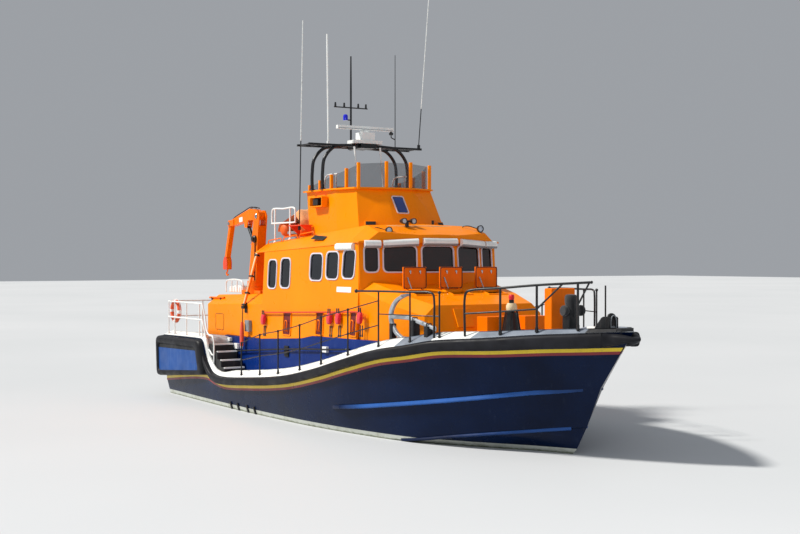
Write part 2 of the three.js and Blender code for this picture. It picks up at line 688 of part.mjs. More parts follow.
function tub() {
  const body = toSolid(loft([tubRing(TUB_FOOT, 0), tubRing(TUB_RIM, 0)]));
  const lip = toSolid(loft([tubRing(TUB_RIM - 45, 0), tubRing(TUB_RIM - 40, -75), tubRing(TUB_RIM, -75)]));
  const hollow = toSolid(loft([tubRing(TUB_FLOOR, TUB_WALL), tubRing(TUB_RIM + 50, TUB_WALL)]));
  return body.add(lip).subtract(hollow).subtract(roofCutter);
}

// Ribs round the rim: columns x, half breadth, height of the top
const RIBS = [[-2330, 1140, 5760], [-1720, 1170, 5850], [-1090, 1190, 5960], [-480, 1110, 6080],
  [-60, 1015, 6200], [130, 345, 6240]];
function ribs() {
  const posts = [];
  for (const [x, y, top] of RIBS) {
    for (const at of [-y, y]) posts.push(box(x - 32, x + 32, at - 32, at + 32, TUB_RIM - 60, top));
  }
  return join(posts);
}
addMesh('flying_bridge', toGeometry(tub().add(ribs())), 'orange', 0.4);

// Smoked screen inside the ribs
function screen() {
  const half = RIBS.map(([x, y, top], i) => [x - (i > 3 ? 42 : 0), -(y - 42), top - 25]);
  const path = [...half, ...half.map(([x, y, z]) => [x, -y, z]).reverse()];
  const rings = path.map(([x, y, top]) => {
    const inner = [x - 10 * Math.sign(x + 1000), y - 10 * Math.sign(y)];
    return [[x, y, TUB_RIM + GAP], [x, y, top], [...inner, top], [...inner, TUB_RIM + GAP]];
  });
  return loft(rings);
}
addMesh('screen', toGeometry(toSolid(screen())), 'smoke', 0.15);

// Mast arch: two hoops and a beam
const HOOP_Y = 1245;
const HOOP_TOP = 6735;
const HOOPS = [-1450, -2000];
const BEAM_HALF = 1650;
function mastArch() {
  const pieces = HOOPS.map((x) => {
    const foot = TUB_RIM + GAP;
    const half = [[x, -HOOP_Y, foot], [x, -HOOP_Y, 6050], [x, -HOOP_Y + 60, 6400], [x, -HOOP_Y + 330, 6680],
      [x, -HOOP_Y + 700, HOOP_TOP]];
    return bentTube([...half, ...half.map(([a, b, c]) => [a, -b, c]).reverse()], 42, 22, 8);
  });
  pieces.push(box(-2060, -1390, -BEAM_HALF, BEAM_HALF, HOOP_TOP - 35, HOOP_TOP + 20));
  pieces.push(box(-1990, -1300, -220, 220, HOOP_TOP - 60, HOOP_TOP + 60));
  return join([...pieces, ...signalPole(), rod([-1500, 900, HOOP_TOP], [-1500, 900, 9130], 12, 5)]);
}

// The signal pole stands on a bracket aft of the arch, clear of the radar's sweep
const POLE_X = -2360;
const POLE_Y = 80;
function signalPole() {
  const at = (y, z) => [POLE_X, POLE_Y + y, z];
  return [
    box(POLE_X - 30, -2040, POLE_Y - 30, POLE_Y + 30, HOOP_TOP - 35, HOOP_TOP + 10),
    rod(at(0, HOOP_TOP - 20), at(0, 9150), 26, 8),
    rod(at(-500, 7810), at(500, 7810), 16, 6),
    rod(at(-160, 7490), at(0, 7490), 22, 6),
    rod(at(-160, 7470), at(-160, 7630), 60, 10),
  ];
}
addMesh('mast_arch', toGeometry(mastArch()), 'black', 0.4);

const ARCH_TOP = HOOP_TOP + 60 + GAP;
addMesh('radar_base', toGeometry(join([
  box(-1700, -1300, -400, 400, ARCH_TOP, 6880), box(-1640, -1320, -190, 190, 6860, 7080),
  rod([-1480, 0, 7060], [-1480, 0, 7130], 120, 16),
])), 'white', 0.35);
addMesh('radar_scanner', toGeometry(join([
  box(-1530, -1430, -820, 820, 7150, 7240), rod([-1480, 0, 7130 + CLEAR], [-1480, 0, 7160], 90, 16),
])), 'white', 0.35);

// Whip aerials: columns name, foot, head, radius
const AERIALS = [
  ['aerial_port', [-1450, 1590, HOOP_TOP + 20 + GAP], [-1450, 1900, 10650], 14],
  ['aerial_stb', [-2540, -1330, 4620], [-2420, -1290, 9950], 16],
  ['aerial_white', [-1700, -950, HOOP_TOP + 20 + GAP], [-1760, -950, 9540], 24],
];
for (const [name, foot, head, radius] of AERIALS) {
  const base = [foot[0], foot[1], foot[2] + 90];
  const whip = join([rod(foot, base, 40, 8), rod(base, head, radius, 6)]).subtract(roofCutter);
  addMesh(name, toGeometry(whip), 'white', 0.35);
}

// Running gear
const HUB_RADIUS = 85;
const BLADE_HALF_CHORD = 125;
const BLADE_MIDDLE = 262;
const BLADE_THICK = 24;
const BLADE_PITCH = 0.6;

function propeller() {
  const face = new THREE.Shape();
  face.absellipse(0, BLADE_MIDDLE, BLADE_HALF_CHORD, PROP_RADIUS - BLADE_MIDDLE, 0, 2 * Math.PI);
  const across = new THREE.Matrix4().makeBasis(
    new THREE.Vector3(0, 1, 0), new THREE.Vector3(0, 0, 1), new THREE.Vector3(1, 0, 0));
  const pieces = [rod([-130, 0, 0], [130, 0, 0], HUB_RADIUS, 14)];
  pieces.push(rod([120, 0, 0], [310 - CLEAR, 0, 0], 45, 12));
  for (let k = 0; k < PROP_BLADES; k += 1) {
    const blade = new THREE.ExtrudeGeometry(face, { ...FLAT, depth: BLADE_THICK, curveSegments: 7 });
    blade.translate(0, 0, -BLADE_THICK / 2).applyMatrix4(across);
    pieces.push(blade.rotateZ(BLADE_PITCH).rotateX((k / PROP_BLADES) * 2 * Math.PI));
  }
  return join(pieces);
}

const RUDDER_SECTION = [[170, 0], [120, 42], [0, 55], [-330, 8], [-330, -8], [0, -55], [120, -42]];
const RUDDER_FOOT = -1620;
const RUDDER_HEAD = -640;
const STOCK_HEAD = -498;

for (const [side, name] of SIDES) {
  const screw = propeller().translate([PROP_X, side * SHAFT_Y, SHAFT_Z]);
  const blade = upZ(outline(RUDDER_SECTION), RUDDER_FOOT, RUDDER_HEAD);
  const rudder = join([blade, rod([0, 0, RUDDER_HEAD - 40], [0, 0, STOCK_HEAD], 45, 12)]);
  addMesh(`propeller_${name}`, toGeometry(screw), 'bronze', 0.3, 1);
  addMesh(`rudder_${name}`, toGeometry(rudder.translate([RUDDER_X, side * SHAFT_Y, 0])), 'steel', 0.5, 0.6);
}

// Hatch lids, standing open on their aft edges
const LID_THICK = 45;
const LID_BACK = 10;
function hatchLid(y) {
  const [a, b] = hatchSpan(y, 4);
  const face = HATCH_HINGE_X - LID_BACK;
  const pieces = [box(face - LID_THICK, face, a, b, HATCH_HINGE_Z + 12, HATCH_HINGE_Z + HATCH_LENGTH)];
  for (const knuckle of [y - 200, y + 200]) {
    const [y0, y1] = [knuckle - 25, knuckle + 25];
    pieces.push(box(face - 30, HATCH_HINGE_X + 12, y0, y1, HATCH_HINGE_Z - 9, HATCH_HINGE_Z + 24));
  }
  return join(pieces);
}
for (const [name, y] of Object.entries(HATCH_YS)) {
  addMesh(`hatch_${name}`, toGeometry(hatchLid(y)), 'orange', 0.4);
}

// Doors, one on the coachroof's sloping front and one in the wheelhouse's aft wall
const DOOR_OFF = 8;
const DOOR_FACE = 43;
const SLOPE_TOP = new THREE.Vector2(COACH_FRONT_TOP + 40, coachTop(COACH_FRONT_TOP) - 70);
const SLOPE_FOOT = new THREE.Vector2(COACH_FRONT_FOOT, COACH_FRONT_Z);
const slopeDown = SLOPE_FOOT.clone().sub(SLOPE_TOP).normalize();
const onSlope = (down, out) => [
  SLOPE_TOP.x + slopeDown.x * down - slopeDown.y * out,
  SLOPE_TOP.y + slopeDown.y * down + slopeDown.x * out,
];
const foreDoor = outline([
  onSlope(25, DOOR_OFF), onSlope(465, DOOR_OFF), onSlope(465, DOOR_FACE), onSlope(25, DOOR_FACE),
]);
addMesh('door_fore', acrossY(foreDoor, -880, -450), 'orange', 0.4);
const aftDoor = box(HOUSE_AFT - DOOR_FACE, HOUSE_AFT - DOOR_OFF, 235, 885, 3035, 3975);
addMesh('door_wheelhouse', aftDoor, 'orange', 0.4);

// Crane, folded over the quarterdeck
const mix = (a, b, t) => a.map((value, i) => value + (b[i] - value) * t);
const inPlane = ([x, z]) => [x, 0, z];
const onCrane = (solid) => toGeometry(solid.translate([0, CRANE_Y, 0]));

function plates(points, inner, outer) {
  return [acrossY(outline(points), inner, outer), acrossY(outline(points), -outer, -inner)];
}

// A tapered box beam between two points of the crane's plane
function beam(from, to, halfFrom, halfTo, halfWidth) {
  const run = new THREE.Vector2(to[0] - from[0], to[1] - from[1]).normalize();
  const corner = (p, half) => [p[0] - run.y * half, p[1] + run.x * half];
  const points = [corner(from, -halfFrom), corner(to, -halfTo), corner(to, halfTo), corner(from, halfFrom)];
  return acrossY(outline(points), -halfWidth, halfWidth);
}

const PEDESTAL_TOP = 3120;
const pedestal = join([
  rod([CRANE_X, 0, 2700], [CRANE_X, 0, PEDESTAL_TOP], 270, 20), box(-5640, -4460, -170, 170, 2700, 3030),
]);
const casingCutter = casing().translate([0, CRANE_Y * -1, GAP]);
addMesh('crane_pedestal', onCrane(pedestal.subtract(casingCutter)), 'orange', 0.4);

const CHEEK = [[-5020, 4640], [-4680, 4640], [-4620, 5050], [-4720, 5190], [-4860, 5200], [-4960, 5090]];
addMesh('crane_post', onCrane(join([
  rod([CRANE_X, 0, PEDESTAL_TOP + CLEAR], [CRANE_X, 0, 3290], 245, 20),
  beam(POST_FOOT, mix(POST_FOOT, BOOM_HINGE, 0.86), 235, 165, 125),
  ...plates(CHEEK, 88, 125),
  ...plates([[-5250, 4270], [-5000, 4240], [-5000, 4520], [-5110, 4440], [-5240, 4380]], 58, 80),
])), 'orange', 0.4);

// The boom's side view, with a raised knuckle over the ram
const BOOM = [[-6496, 4800], [-6496, 4985], [-5420, 5235], [-5320, 5255], [-4970, 5225], [-4725, 5140],
  [-4690, 5040], [-4760, 4935], [-5400, 4945]];
addMesh('crane_boom', onCrane(join([
  acrossY(outline(BOOM), -80, 80),
  ...plates([[-6340, 4820], [-6340, 4980], [-6680, 4970], [-6730, 4900], [-6710, 4800]], 73, 100),
  ...plates([[-5690, 4960], [-5640, 4750], [-5500, 4740], [-5400, 4990]], 58, 80),
])), 'orange', 0.4);

const HOOK = [[-6960, 0, 3620], [-6960, 0, 3540], [-7030, 0, 3480], [-6990, 0, 3420], [-6910, 0, 3440]];
addMesh('crane_jib', onCrane(join([
  beam(mix(JIB_HINGE, JIB_TIP, -0.06), JIB_TIP, 72, 62, 65),
  box(JIB_TIP[0] - 120, JIB_TIP[0] + 100, -62, 62, JIB_TIP[1] - 300, JIB_TIP[1] + 10),
  bentTube(HOOK, 24, 10, 6),
])), 'orange', 0.4);

// The boom's ram: a bored barrel on the post, and a rod whose eye is on the boom
const alongRam = (t) => inPlane(mix(RAM_FOOT, RAM_EYE, t));
const barrel = toSolid(rod(alongRam(0), alongRam(0.9), 50, 16));
const bore = toSolid(rod(alongRam(0.06), alongRam(1), 32, 16));
addMesh('crane_barrel', onCrane(barrel.subtract(bore)), 'grey', 0.4);
const [eyeX, eyeZ] = RAM_EYE;
addMesh('crane_rod', onCrane(join([
  rod(alongRam(0.08), alongRam(0.97), 25, 12), rod([eyeX, -50, eyeZ], [eyeX, 50, eyeZ], 44, 14),
])), 'steel', 0.2, 1);

// The crane's pole, stowed upright outside the casing: two tubes side by side, on a bracket
const POLE_HEAD = [-4630, -1530, 4040];
const POLE_FOOT = [-4540, -1990, 2560];
const POLE_R = 34;
const POLE_APART = 58;
const ahead = ([x, y, z]) => [x + POLE_APART, y, z];
addMesh('crane_strut', toGeometry(join([
  rod(POLE_HEAD, POLE_FOOT, POLE_R, 10), rod(ahead(POLE_HEAD), ahead(POLE_FOOT), POLE_R - 6, 10),
  box(-4610, -4450, -2010, -1900 - GAP, 2560, 2640),
])), 'cream', 0.5);

// Daughter boat under its cover, across the roof, on a cradle
const DINGHY = { aft: -4440, fore: -3060, stb: -1000, port: 1220, low: 4470, high: 5230 };
function dinghy() {
  const [low, middle] = [DINGHY.low, (DINGHY.aft + DINGHY.fore) / 2];
  const ring = (y, inset) => {
    const [a, b, high] = [DINGHY.aft + inset, DINGHY.fore - inset, DINGHY.high - inset * 0.8];
    return [
      [a + 120, y, low], [b - 120, y, low], [b, y, low + 130], [b, y, low + 260], [b - 150, y, high - 90],
      [middle, y, high], [a + 150, y, high - 90], [a, y, low + 260], [a, y, low + 130],
    ];
  };
  return loft([ring(DINGHY.stb, 130), ring(DINGHY.stb + 130, 0), ring(800, 0), ring(DINGHY.port, 330)]);
}
addMesh('dinghy', dinghy(), 'orange', 0.7);

function cradle() {
  const top = DINGHY.low - GAP;
  const bearers = [-620, 780].map((y) => box(-4080, -3150, y - 40, y + 40, 4150, top));
  bearers.push(box(-3700, -3620, -620, 780, top - 60, top));
  return join(bearers).subtract(roofCutter);
}
addMesh('cradle', toGeometry(cradle()), 'grey', 0.5);

// Rails and stanchions
const RAIL_R = 22;
const POST_R = 18;
const WIRE_R = 12;
const RAIL_IN = 75;
const railHalf = (x) => along(SHEER, x, 1) - RAIL_IN;
const deckAt = (x) => along(SHEER, x, 2);
const bothSides = (half) => [...half, ...half.map(([x, y, z]) => [x, -y, z]).reverse()];
const upright = (x, y, foot, head, radius) => rod([x, y, foot], [x, y, head], radius, 6);

function seatOn(pieces, cutters = [hullCutter, toeCutter]) {
  const bodies = cutters.reduce((solid, cutter) => solid.subtract(cutter), join(pieces)).decompose();
  return bodies.reduce((largest, body) => (body.volume() > largest.volume() ? body : largest));
}

// Stern rail, with a handrail that runs down to the waist on each side
const STERN_RAIL_X = -8400;
const STERN_RAIL_ZS = [2230, 2670];
const STERN_POSTS = [-8240, -7750, -6830, -5860];
const WAIST_POST_Y = 2680;
function sternRail() {
  const foreX = -5640;
  const head = STERN_RAIL_ZS[1];
  const pieces = STERN_RAIL_ZS.map((z) => bentTube(bothSides([
    [foreX, -railHalf(foreX), z], [-7000, -railHalf(-7000), z], [-8240, -railHalf(-8240), z],
    [-8365, -2535, z], [STERN_RAIL_X, -2400, z], [STERN_RAIL_X, -1200, z],
  ]), RAIL_R, 30, 6));
  for (const side of [-1, 1]) {
    for (const x of STERN_POSTS) pieces.push(upright(x, side * railHalf(x), 1600, head, POST_R));
    pieces.push(upright(foreX, side * railHalf(foreX), 1600, head, RAIL_R));
    const out = side * WAIST_POST_Y;
    pieces.push(bentTube([
      [foreX, side * railHalf(foreX), head], [-5480, out, 2350], [-5270, out, 1880],
      [-4960, out, 1820], [-4880, out, 1700], [-4880, out, 700],
    ], RAIL_R, 14, 6));
  }
  for (const y of [-1500, -500, 500, 1500]) pieces.push(upright(STERN_RAIL_X, y, 1600, head, POST_R));
  return seatOn(pieces);
}
addMesh('rail_stern', toGeometry(sternRail()), 'white', 0.35);

// Side rail: low stanchions with two wires, then a raised rail that ends in a hoop, and a gate post.
// columns: x, height of the stanchion's head
const LOW_STANCHIONS = [[-3000, 1760], [-1905, 2020], [-885, 2160], [225, 2350], [1235, 2570], [2345, 2780]];
const RAISED_POSTS = [3400, 4305];
const RAISED_Z = 3200;
const HOOP_X = 4905;
const GATE_X = 5030;
const MID_DROP = 480;
function sideRail() {
  const onRail = (x, z) => [x, -railHalf(x), z];
  const post = (x, z) => upright(x, -railHalf(x), deckAt(x) - 100, z, POST_R);
  const tall = [...RAISED_POSTS, GATE_X].map((x) => [x, RAISED_Z]);
  const pieces = [...LOW_STANCHIONS, ...tall].map(([x, z]) => post(x, z));
  const upper = [...LOW_STANCHIONS.map(([x, z]) => onRail(x, z)), onRail(RAISED_POSTS[0], 3000)];
  const lower = upper.map(([x, y, z]) => [x, y, (z + deckAt(x)) / 2]);
  for (const wire of [upper, lower]) pieces.push(bentTube(wire, WIRE_R, 12, 4));
  pieces.push(bentTube([
    onRail(2660, RAISED_Z - 10), ...RAISED_POSTS.map((x) => onRail(x, RAISED_Z)), onRail(4790, RAISED_Z),
    onRail(4880, 3165), onRail(HOOP_X, 3070), onRail(HOOP_X, 2300),
  ], RAIL_R, 16, 6));
  const middle = [...RAISED_POSTS, HOOP_X, GATE_X].map((x) => onRail(x, RAISED_Z - MID_DROP));
  pieces.push(bentTube(middle, WIRE_R, 6, 4));
  return toGeometry(seatOn(pieces));
}
addMesh('rail_side_stb', sideRail(), 'black', 0.4);
addMesh('rail_side_port', mirrorY(sideRail()), 'black', 0.4);

// Bow rail, on the starboard side alone: a hoop aft, and a free end that a brace carries
const BOW_POSTS = [6300, 6960, 7640];
const BOW_RAIL_AFT = 5590;
const BOW_RAIL_END = 7850;
const BOW_RAIL_RISE = 960;
const BOW_MID_RISE = 500;
const BOW_RAIL_R = 24;
const BOW_BRACE_R = 18;
function bowRail() {
  const onRail = (x, rise) => [x, -railHalf(x), deckAt(x) + rise];
  const post = (x) => upright(x, -railHalf(x), deckAt(x) - 100, deckAt(x) + BOW_RAIL_RISE, BOW_RAIL_R);
  const pieces = BOW_POSTS.map(post);
  pieces.push(bentTube([
    onRail(BOW_RAIL_AFT, -100), onRail(BOW_RAIL_AFT, BOW_RAIL_RISE - 130),
    onRail(BOW_RAIL_AFT + 35, BOW_RAIL_RISE - 35), onRail(BOW_RAIL_AFT + 130, BOW_RAIL_RISE),
    ...BOW_POSTS.map((x) => onRail(x, BOW_RAIL_RISE)),
    onRail(BOW_RAIL_END, BOW_RAIL_RISE),
  ], BOW_RAIL_R, 22, 6));
  const middle = [BOW_RAIL_AFT, ...BOW_POSTS.slice(0, 2)].map((x) => onRail(x, BOW_MID_RISE));
  pieces.push(bentTube(middle, BOW_BRACE_R, 6, 6));
  pieces.push(rod(onRail(BOW_POSTS[1], BOW_MID_RISE), onRail(7400, BOW_RAIL_RISE), BOW_BRACE_R, 6));
  pieces.push(rod(onRail(BOW_POSTS[2], 540), onRail(BOW_RAIL_END - 30, BOW_RAIL_RISE), BOW_BRACE_R, 6));
  return toGeometry(seatOn(pieces));
}
addMesh('rail_bow', bowRail(), 'black', 0.4);

// Rail beside the daughter boat
const ROOF_RAIL_Y = -1400;
const ROOF_RAIL_TOP = 5190;
function roofRail() {
  const at = (x, z) => [x, ROOF_RAIL_Y, z];
  const low = ROOF_RAIL_TOP - 370;
  const pieces = [rod(at(-4000, ROOF_RAIL_TOP), at(-2620, ROOF_RAIL_TOP), RAIL_R, 6)];
  pieces.push(rod(at(-4000, low), at(-2620, low), RAIL_R, 6));
  for (const x of [-3980, -2640]) pieces.push(rod(at(x, low), at(x, ROOF_RAIL_TOP), RAIL_R, 6));
  for (const x of [-3800, -2930]) pieces.push(rod(at(x, 4150), at(x, ROOF_RAIL_TOP), RAIL_R, 6));
  return toGeometry(seatOn(pieces, [roofCutter]));
}
addMesh('roof_rail_stb', roofRail(), 'white', 0.35);
addMesh('roof_rail_port', mirrorY(roofRail()), 'white', 0.35);

// Deck gear. Two lockers share a plinth.
const gear = (name, pieces, colour) => addMesh(name, toGeometry(seatOn(pieces)), colour, 0.45);
gear('lockers', [
  box(4330, 4700, -640, 60, 2000, 2660), box(4180, 4620, 420, 1000, 2000, 2650),
  box(4350, 4600, 0, 500, 2000, 2380),
], 'orange');
gear('locker_bow', [box(6180, 6420, -300, 310, 2200, 3290)], 'orange');
gear('bitts', [
  rod([4930, -180, 2200], [4930, -180, 2760], 130, 14), rod([4930, -180, 2200], [4930, -180, 2420], 190, 14),
], 'black');
gear('windlass', [
  box(6790, 7010, -340, -60, 2300, 2800), rod([6900, -200, 2700], [6900, -200, 3180], 125, 18),
  rod([6900, -410, 2860], [6900, 10, 2860], 110, 18),
], 'black');
// Side view of the fairlead's cheeks, which slope down aft: columns x, z
const FAIRLEAD_SIDE = [[7480, 2350], [7480, 2520], [7720, 2760], [7930, 2760], [7930, 2350]];
gear('bow_fairlead', [
  box(7480, 7930, -118, 118, 2350, 2530), acrossY(outline(FAIRLEAD_SIDE), -118, -72),
  acrossY(outline(FAIRLEAD_SIDE), 72, 118),
  bentTube([[7860, -92, 2600], [7860, -92, 2730],
    [7860, 0, 2808], [7860, 92, 2730], [7860, 92, 2600]], 32, 10, 8),
], 'black');

// Anchor, stowed upright on the starboard side deck: columns x, z
const ANCHOR_Y = -2050;
const SHANK = [[3130, 2600], [3130, 2700], [3850, 2690], [4880, 2500], [4880, 2420], [3850, 2600]];
const ARMS = [
  [3600, 2190], [3340, 2250], [3140, 2440], [3080, 2650], [3140, 2860], [3380, 3060], [3790, 3150],
  [3800, 3110], [3440, 2960], [3260, 2810], [3190, 2650], [3260, 2490], [3420, 2340], [3620, 2230],
];
const plate = (points, half) => acrossY(outline(points), ANCHOR_Y - half, ANCHOR_Y + half);
gear('anchor', [
  plate(SHANK, 35), plate(ARMS, 38), plate([[3560, 2190], [3640, 2190], [3640, 2260], [3560, 2260]], 130),
  plate([[3700, 3090], [3800, 3110], [3800, 3150], [3700, 3135]], 130),
  box(4020, 4160, ANCHOR_Y - 90, ANCHOR_Y + 90, 2000, 2620),
], 'grey');

const LIFE_RING_X = -7900;
const lifeRing = new THREE.TorusGeometry(275, 58, 8, 20).rotateX(Math.PI / 2);
const ringOut = railHalf(LIFE_RING_X) - RAIL_R - 65;
addMesh('life_ring', lifeRing.translate(LIFE_RING_X, -ringOut, 2390), 'red', 0.5);

export default boat;
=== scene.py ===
import math

import bmesh
import bpy
from mathutils import Matrix, Vector


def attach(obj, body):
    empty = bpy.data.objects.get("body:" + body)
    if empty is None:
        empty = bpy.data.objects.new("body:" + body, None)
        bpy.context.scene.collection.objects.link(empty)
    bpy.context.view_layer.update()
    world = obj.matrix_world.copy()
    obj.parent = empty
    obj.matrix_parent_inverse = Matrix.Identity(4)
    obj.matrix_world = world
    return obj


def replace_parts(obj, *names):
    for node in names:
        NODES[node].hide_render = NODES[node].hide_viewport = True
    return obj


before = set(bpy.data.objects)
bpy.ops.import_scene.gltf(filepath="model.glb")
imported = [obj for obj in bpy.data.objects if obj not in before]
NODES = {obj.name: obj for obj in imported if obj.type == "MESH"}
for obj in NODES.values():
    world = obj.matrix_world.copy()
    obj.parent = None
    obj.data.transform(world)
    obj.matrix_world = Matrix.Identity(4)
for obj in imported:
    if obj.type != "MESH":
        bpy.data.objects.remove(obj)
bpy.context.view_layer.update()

# Driving dimensions, the hull's long lines in millimetres as in the frame
STERN = -8450
STEM_SHEER = 8480
STEM_RAIL = 7560
STEM_CHINE = 7150
# columns: x, half breadth, height
SHEER = [
    [STERN, 2690, 1700], [-5600, 2760, 1740], [-5430, 2765, 1700], [-5060, 2770, 1150],
    [-4600, 2775, 865], [-4200, 2790, 825], [-2360, 2820, 940], [-570, 2830, 1120],
    [1040, 2810, 1410], [2370, 2740, 1730], [3440, 2590, 1980], [4210, 2410, 2100],
    [5000, 2150, 2240], [6100, 1660, 2330], [7040, 1120, 2420], [7770, 620, 2470],
    [8200, 270, 2500], [STEM_SHEER, 0, 2510],
]
RAIL_LINE = [
    [STERN, 2590, 420], [-4000, 2680, 330], [-500, 2660, 400], [1500, 2560, 560], [2300, 2440, 640],
    [3500, 2190, 790], [5300, 1560, 1040], [6500, 870, 1230], [7150, 400, 1310], [STEM_RAIL, 0, 1380],
]
CHINE = [
    [STERN, 2430, -230], [-4000, 2540, -230], [-500, 2470, -170], [1500, 2290, -80], [3400, 1960, 30],
    [4900, 1450, 250], [6100, 780, 430], [6800, 300, 530], [STEM_CHINE, 0, 580],
]
KEEL = [
    [STERN, 0, -620], [-4000, 0, -1000], [0, 0, -1180], [3000, 0, -1100], [4800, 0, -760],
    [6000, 0, -330], [6750, 0, 20], [STEM_CHINE, 0, 580],
]
# columns: x, height
BELT_HEIGHT = [[-6000, 195], [1000, 205], [4200, 215], [7000, 280], [8650, 300]]
CHINE_FLAT = 0.07
CAMBER = 0.06
BOOT_TOP = 0.115        # height of the pale band over the waterline
SHAFT_Y = 1.25
SIDES = ((-1, "stb"), (1, "port"))

# Sloped board on the deck's edge. columns: x, width, height
TOE_BOARD = [
    [STERN, 290, 110], [-5700, 290, 110], [-5450, 112, 100], [-4150, 112, 110], [-3700, 290, 170],
    [1000, 290, 190], [4000, 290, 180], [5200, 270, 150], [7000, 180, 100], [8250, 85, 78],
]
TOE_LIP = 0.018
TOE_FLAT = 0.04

# Deckhouse
HOUSE_HALF = 1.97
LEAN_FROM = 1.8
TUMBLEHOME = 0.052
# columns: aft edge, front edge, sill and head
SIDE_WINDOWS = [
    [-3.19, -2.73, 3.14, 3.85], [-2.48, -1.965, 3.165, 3.89], [-0.9, -0.285, 3.375, 4.0],
    [-0.085, 0.495, 3.415, 4.04], [0.7, 1.29, 3.44, 4.075],
]
FRONT_HALF = [(1.536, -1.895), (1.64, -1.4), (1.9, -0.52)]
FRONT_PLAN = [Vector(p) for p in FRONT_HALF + [(x, -y) for x, y in FRONT_HALF[::-1]]]
FRONT_LEAN = 0.07
FRONT_FOOT = 3.15
FRONT_SILL = 3.59
FRONT_HEAD = 4.17
# columns: facet, distances of the window's edges along it
FRONT_WINDOWS = [[0, 0.13, 0.455], [1, 0.08, 0.85], [2, 0.09, 0.95]]
WINDOW_RADIUS = 0.15
HATCH_X = 2.42
LID_FACE_X = HATCH_X - 0.0095
HATCH_YS = {"stb": -0.98, "mid": 0.0, "port": 0.98}
TUB_FOOT = 4.5
TUB_RIM = 5.61
# columns: x and half breadth at the foot, x and half breadth at the rim
TUB = [(-2.3, 1.16, -2.45, 1.16), (-0.56, 1.33, -0.85, 1.205), (0.35, 1.23, -0.11, 1.05),
       (0.76, 0.46, 0.12, 0.37)]
CRANE_Y = -1.35


# Camera, as the photograph shows the boat
CAMERA_AT = Vector((26.2687, -16.1636, 3.8688))
CAMERA_YAW = math.radians(148.2067)
CAMERA_PITCH = math.radians(-0.3422)
CAMERA_LENS = 56.89


def show(name, data):
    made = bpy.data.objects.new(name, data)
    bpy.context.scene.collection.objects.link(made)
    return made


def aim(thing, ahead):
    thing.rotation_mode = "QUATERNION"
    thing.rotation_quaternion = ahead.to_track_quat("-Z", "Y")


def add_camera():
    data = bpy.data.cameras.new("camera")
    data.lens = CAMERA_LENS
    data.sensor_width = 36
    data.clip_end = 500
    camera = show("camera", data)
    level = math.cos(CAMERA_PITCH)
    ahead = Vector((math.cos(CAMERA_YAW) * level, math.sin(CAMERA_YAW) * level, math.sin(CAMERA_PITCH)))
    camera.location = CAMERA_AT
    aim(camera, ahead)
    bpy.context.scene.camera = camera


add_camera()


# Materials
def linear(red, green, blue):
    def one(value):
        value = value / 255
        return value / 12.92 if value <= 0.04045 else ((value + 0.055) / 1.055) ** 2.4
    return (one(red), one(green), one(blue), 1.0)


def toned(colour, share):
    """A linear colour made lighter or darker."""
    return tuple(c * share for c in colour[:3]) + (1.0,)


class Look:
    """A material being made: colours are 0 to 255, linear ones have four parts."""

    def __init__(self, name):
        self.material = bpy.data.materials.new(name)
        self.material.use_nodes = True
        self.tree = self.material.node_tree
        self.shader = self.tree.nodes["Principled BSDF"]
        self.place = self.node("TexCoord")["Object"]

    def node(self, kind, inputs=(), **settings):
        made = self.tree.nodes.new("ShaderNode" + kind)
        for key, value in settings.items():
            setattr(made, key, value)
        for key, value in dict(inputs).items():
            if isinstance(value, bpy.types.NodeSocket):
                self.tree.links.new(value, made.inputs[key])
            else:
                made.inputs[key].default_value = value
        return made.outputs

    def part(self, index):
        """The place's x, y or z."""
        return self.node("SeparateXYZ", {0: self.place})[index]

    def mix(self, share, *pair):
        first, second = (linear(*c) if isinstance(c, tuple) and len(c) == 3 else c for c in pair)
        return self.node("Mix", {0: share, 6: first, 7: second}, data_type="RGBA")[2]

    def ramp(self, value, low, high, to_low=0.0, to_high=1.0):
        return self.node("MapRange", {0: value, 1: low, 2: high, 3: to_low, 4: to_high})[0]

    def above(self, value, level, blur=0.004):
        return self.ramp(value, level - blur, level + blur)

    def noise(self, scale, detail=4.0, rough=0.55, stretch=None):
        place = self.node("Mapping", {"Vector": self.place, "Scale": stretch})[0] if stretch else self.place
        return self.node("TexNoise",
                         {"Vector": place, "Scale": scale, "Detail": detail, "Roughness": rough})[0]

    def patches(self, scale, detail, low, high, most=1.0, rough=0.55, stretch=None):
        """Noise cut between two levels to a share of 0 to most."""
        return self.ramp(self.noise(scale, detail, rough, stretch), low, high, 0.0, most)

    def bump(self, height, strength, distance=0.004):
        made = self.node("Bump", {"Strength": strength, "Distance": distance, "Height": height})
        self.tree.links.new(made[0], self.shader.inputs["Normal"])

    def put(self, **values):
        """Numbers on the shader's own sockets."""
        for name, value in values.items():
            self.shader.inputs[SOCKETS[name]].default_value = value

    def colour(self, tone):
        self.tree.links.new(tone, self.shader.inputs["Base Color"])

    def finish(self, tone, rough, grain=240.0, relief=0.04, spread=0.3, gloss=0.5, **values):
        """Colour, uneven gloss and fine relief."""
        self.colour(tone)
        uneven = self.ramp(self.noise(3.1, 6.0), 0.3, 0.7, rough * (1 - spread), rough * (1 + spread))
        self.tree.links.new(uneven, self.shader.inputs["Roughness"])
        self.bump(self.noise(grain, 3.0), relief)
        self.put(gloss=gloss, **values)
        return self.material


SOCKETS = {"gloss": "Specular IOR Level", "metal": "Metallic", "rough": "Roughness",
           "sheen": "Sheen Weight",
           "alpha": "Alpha"}


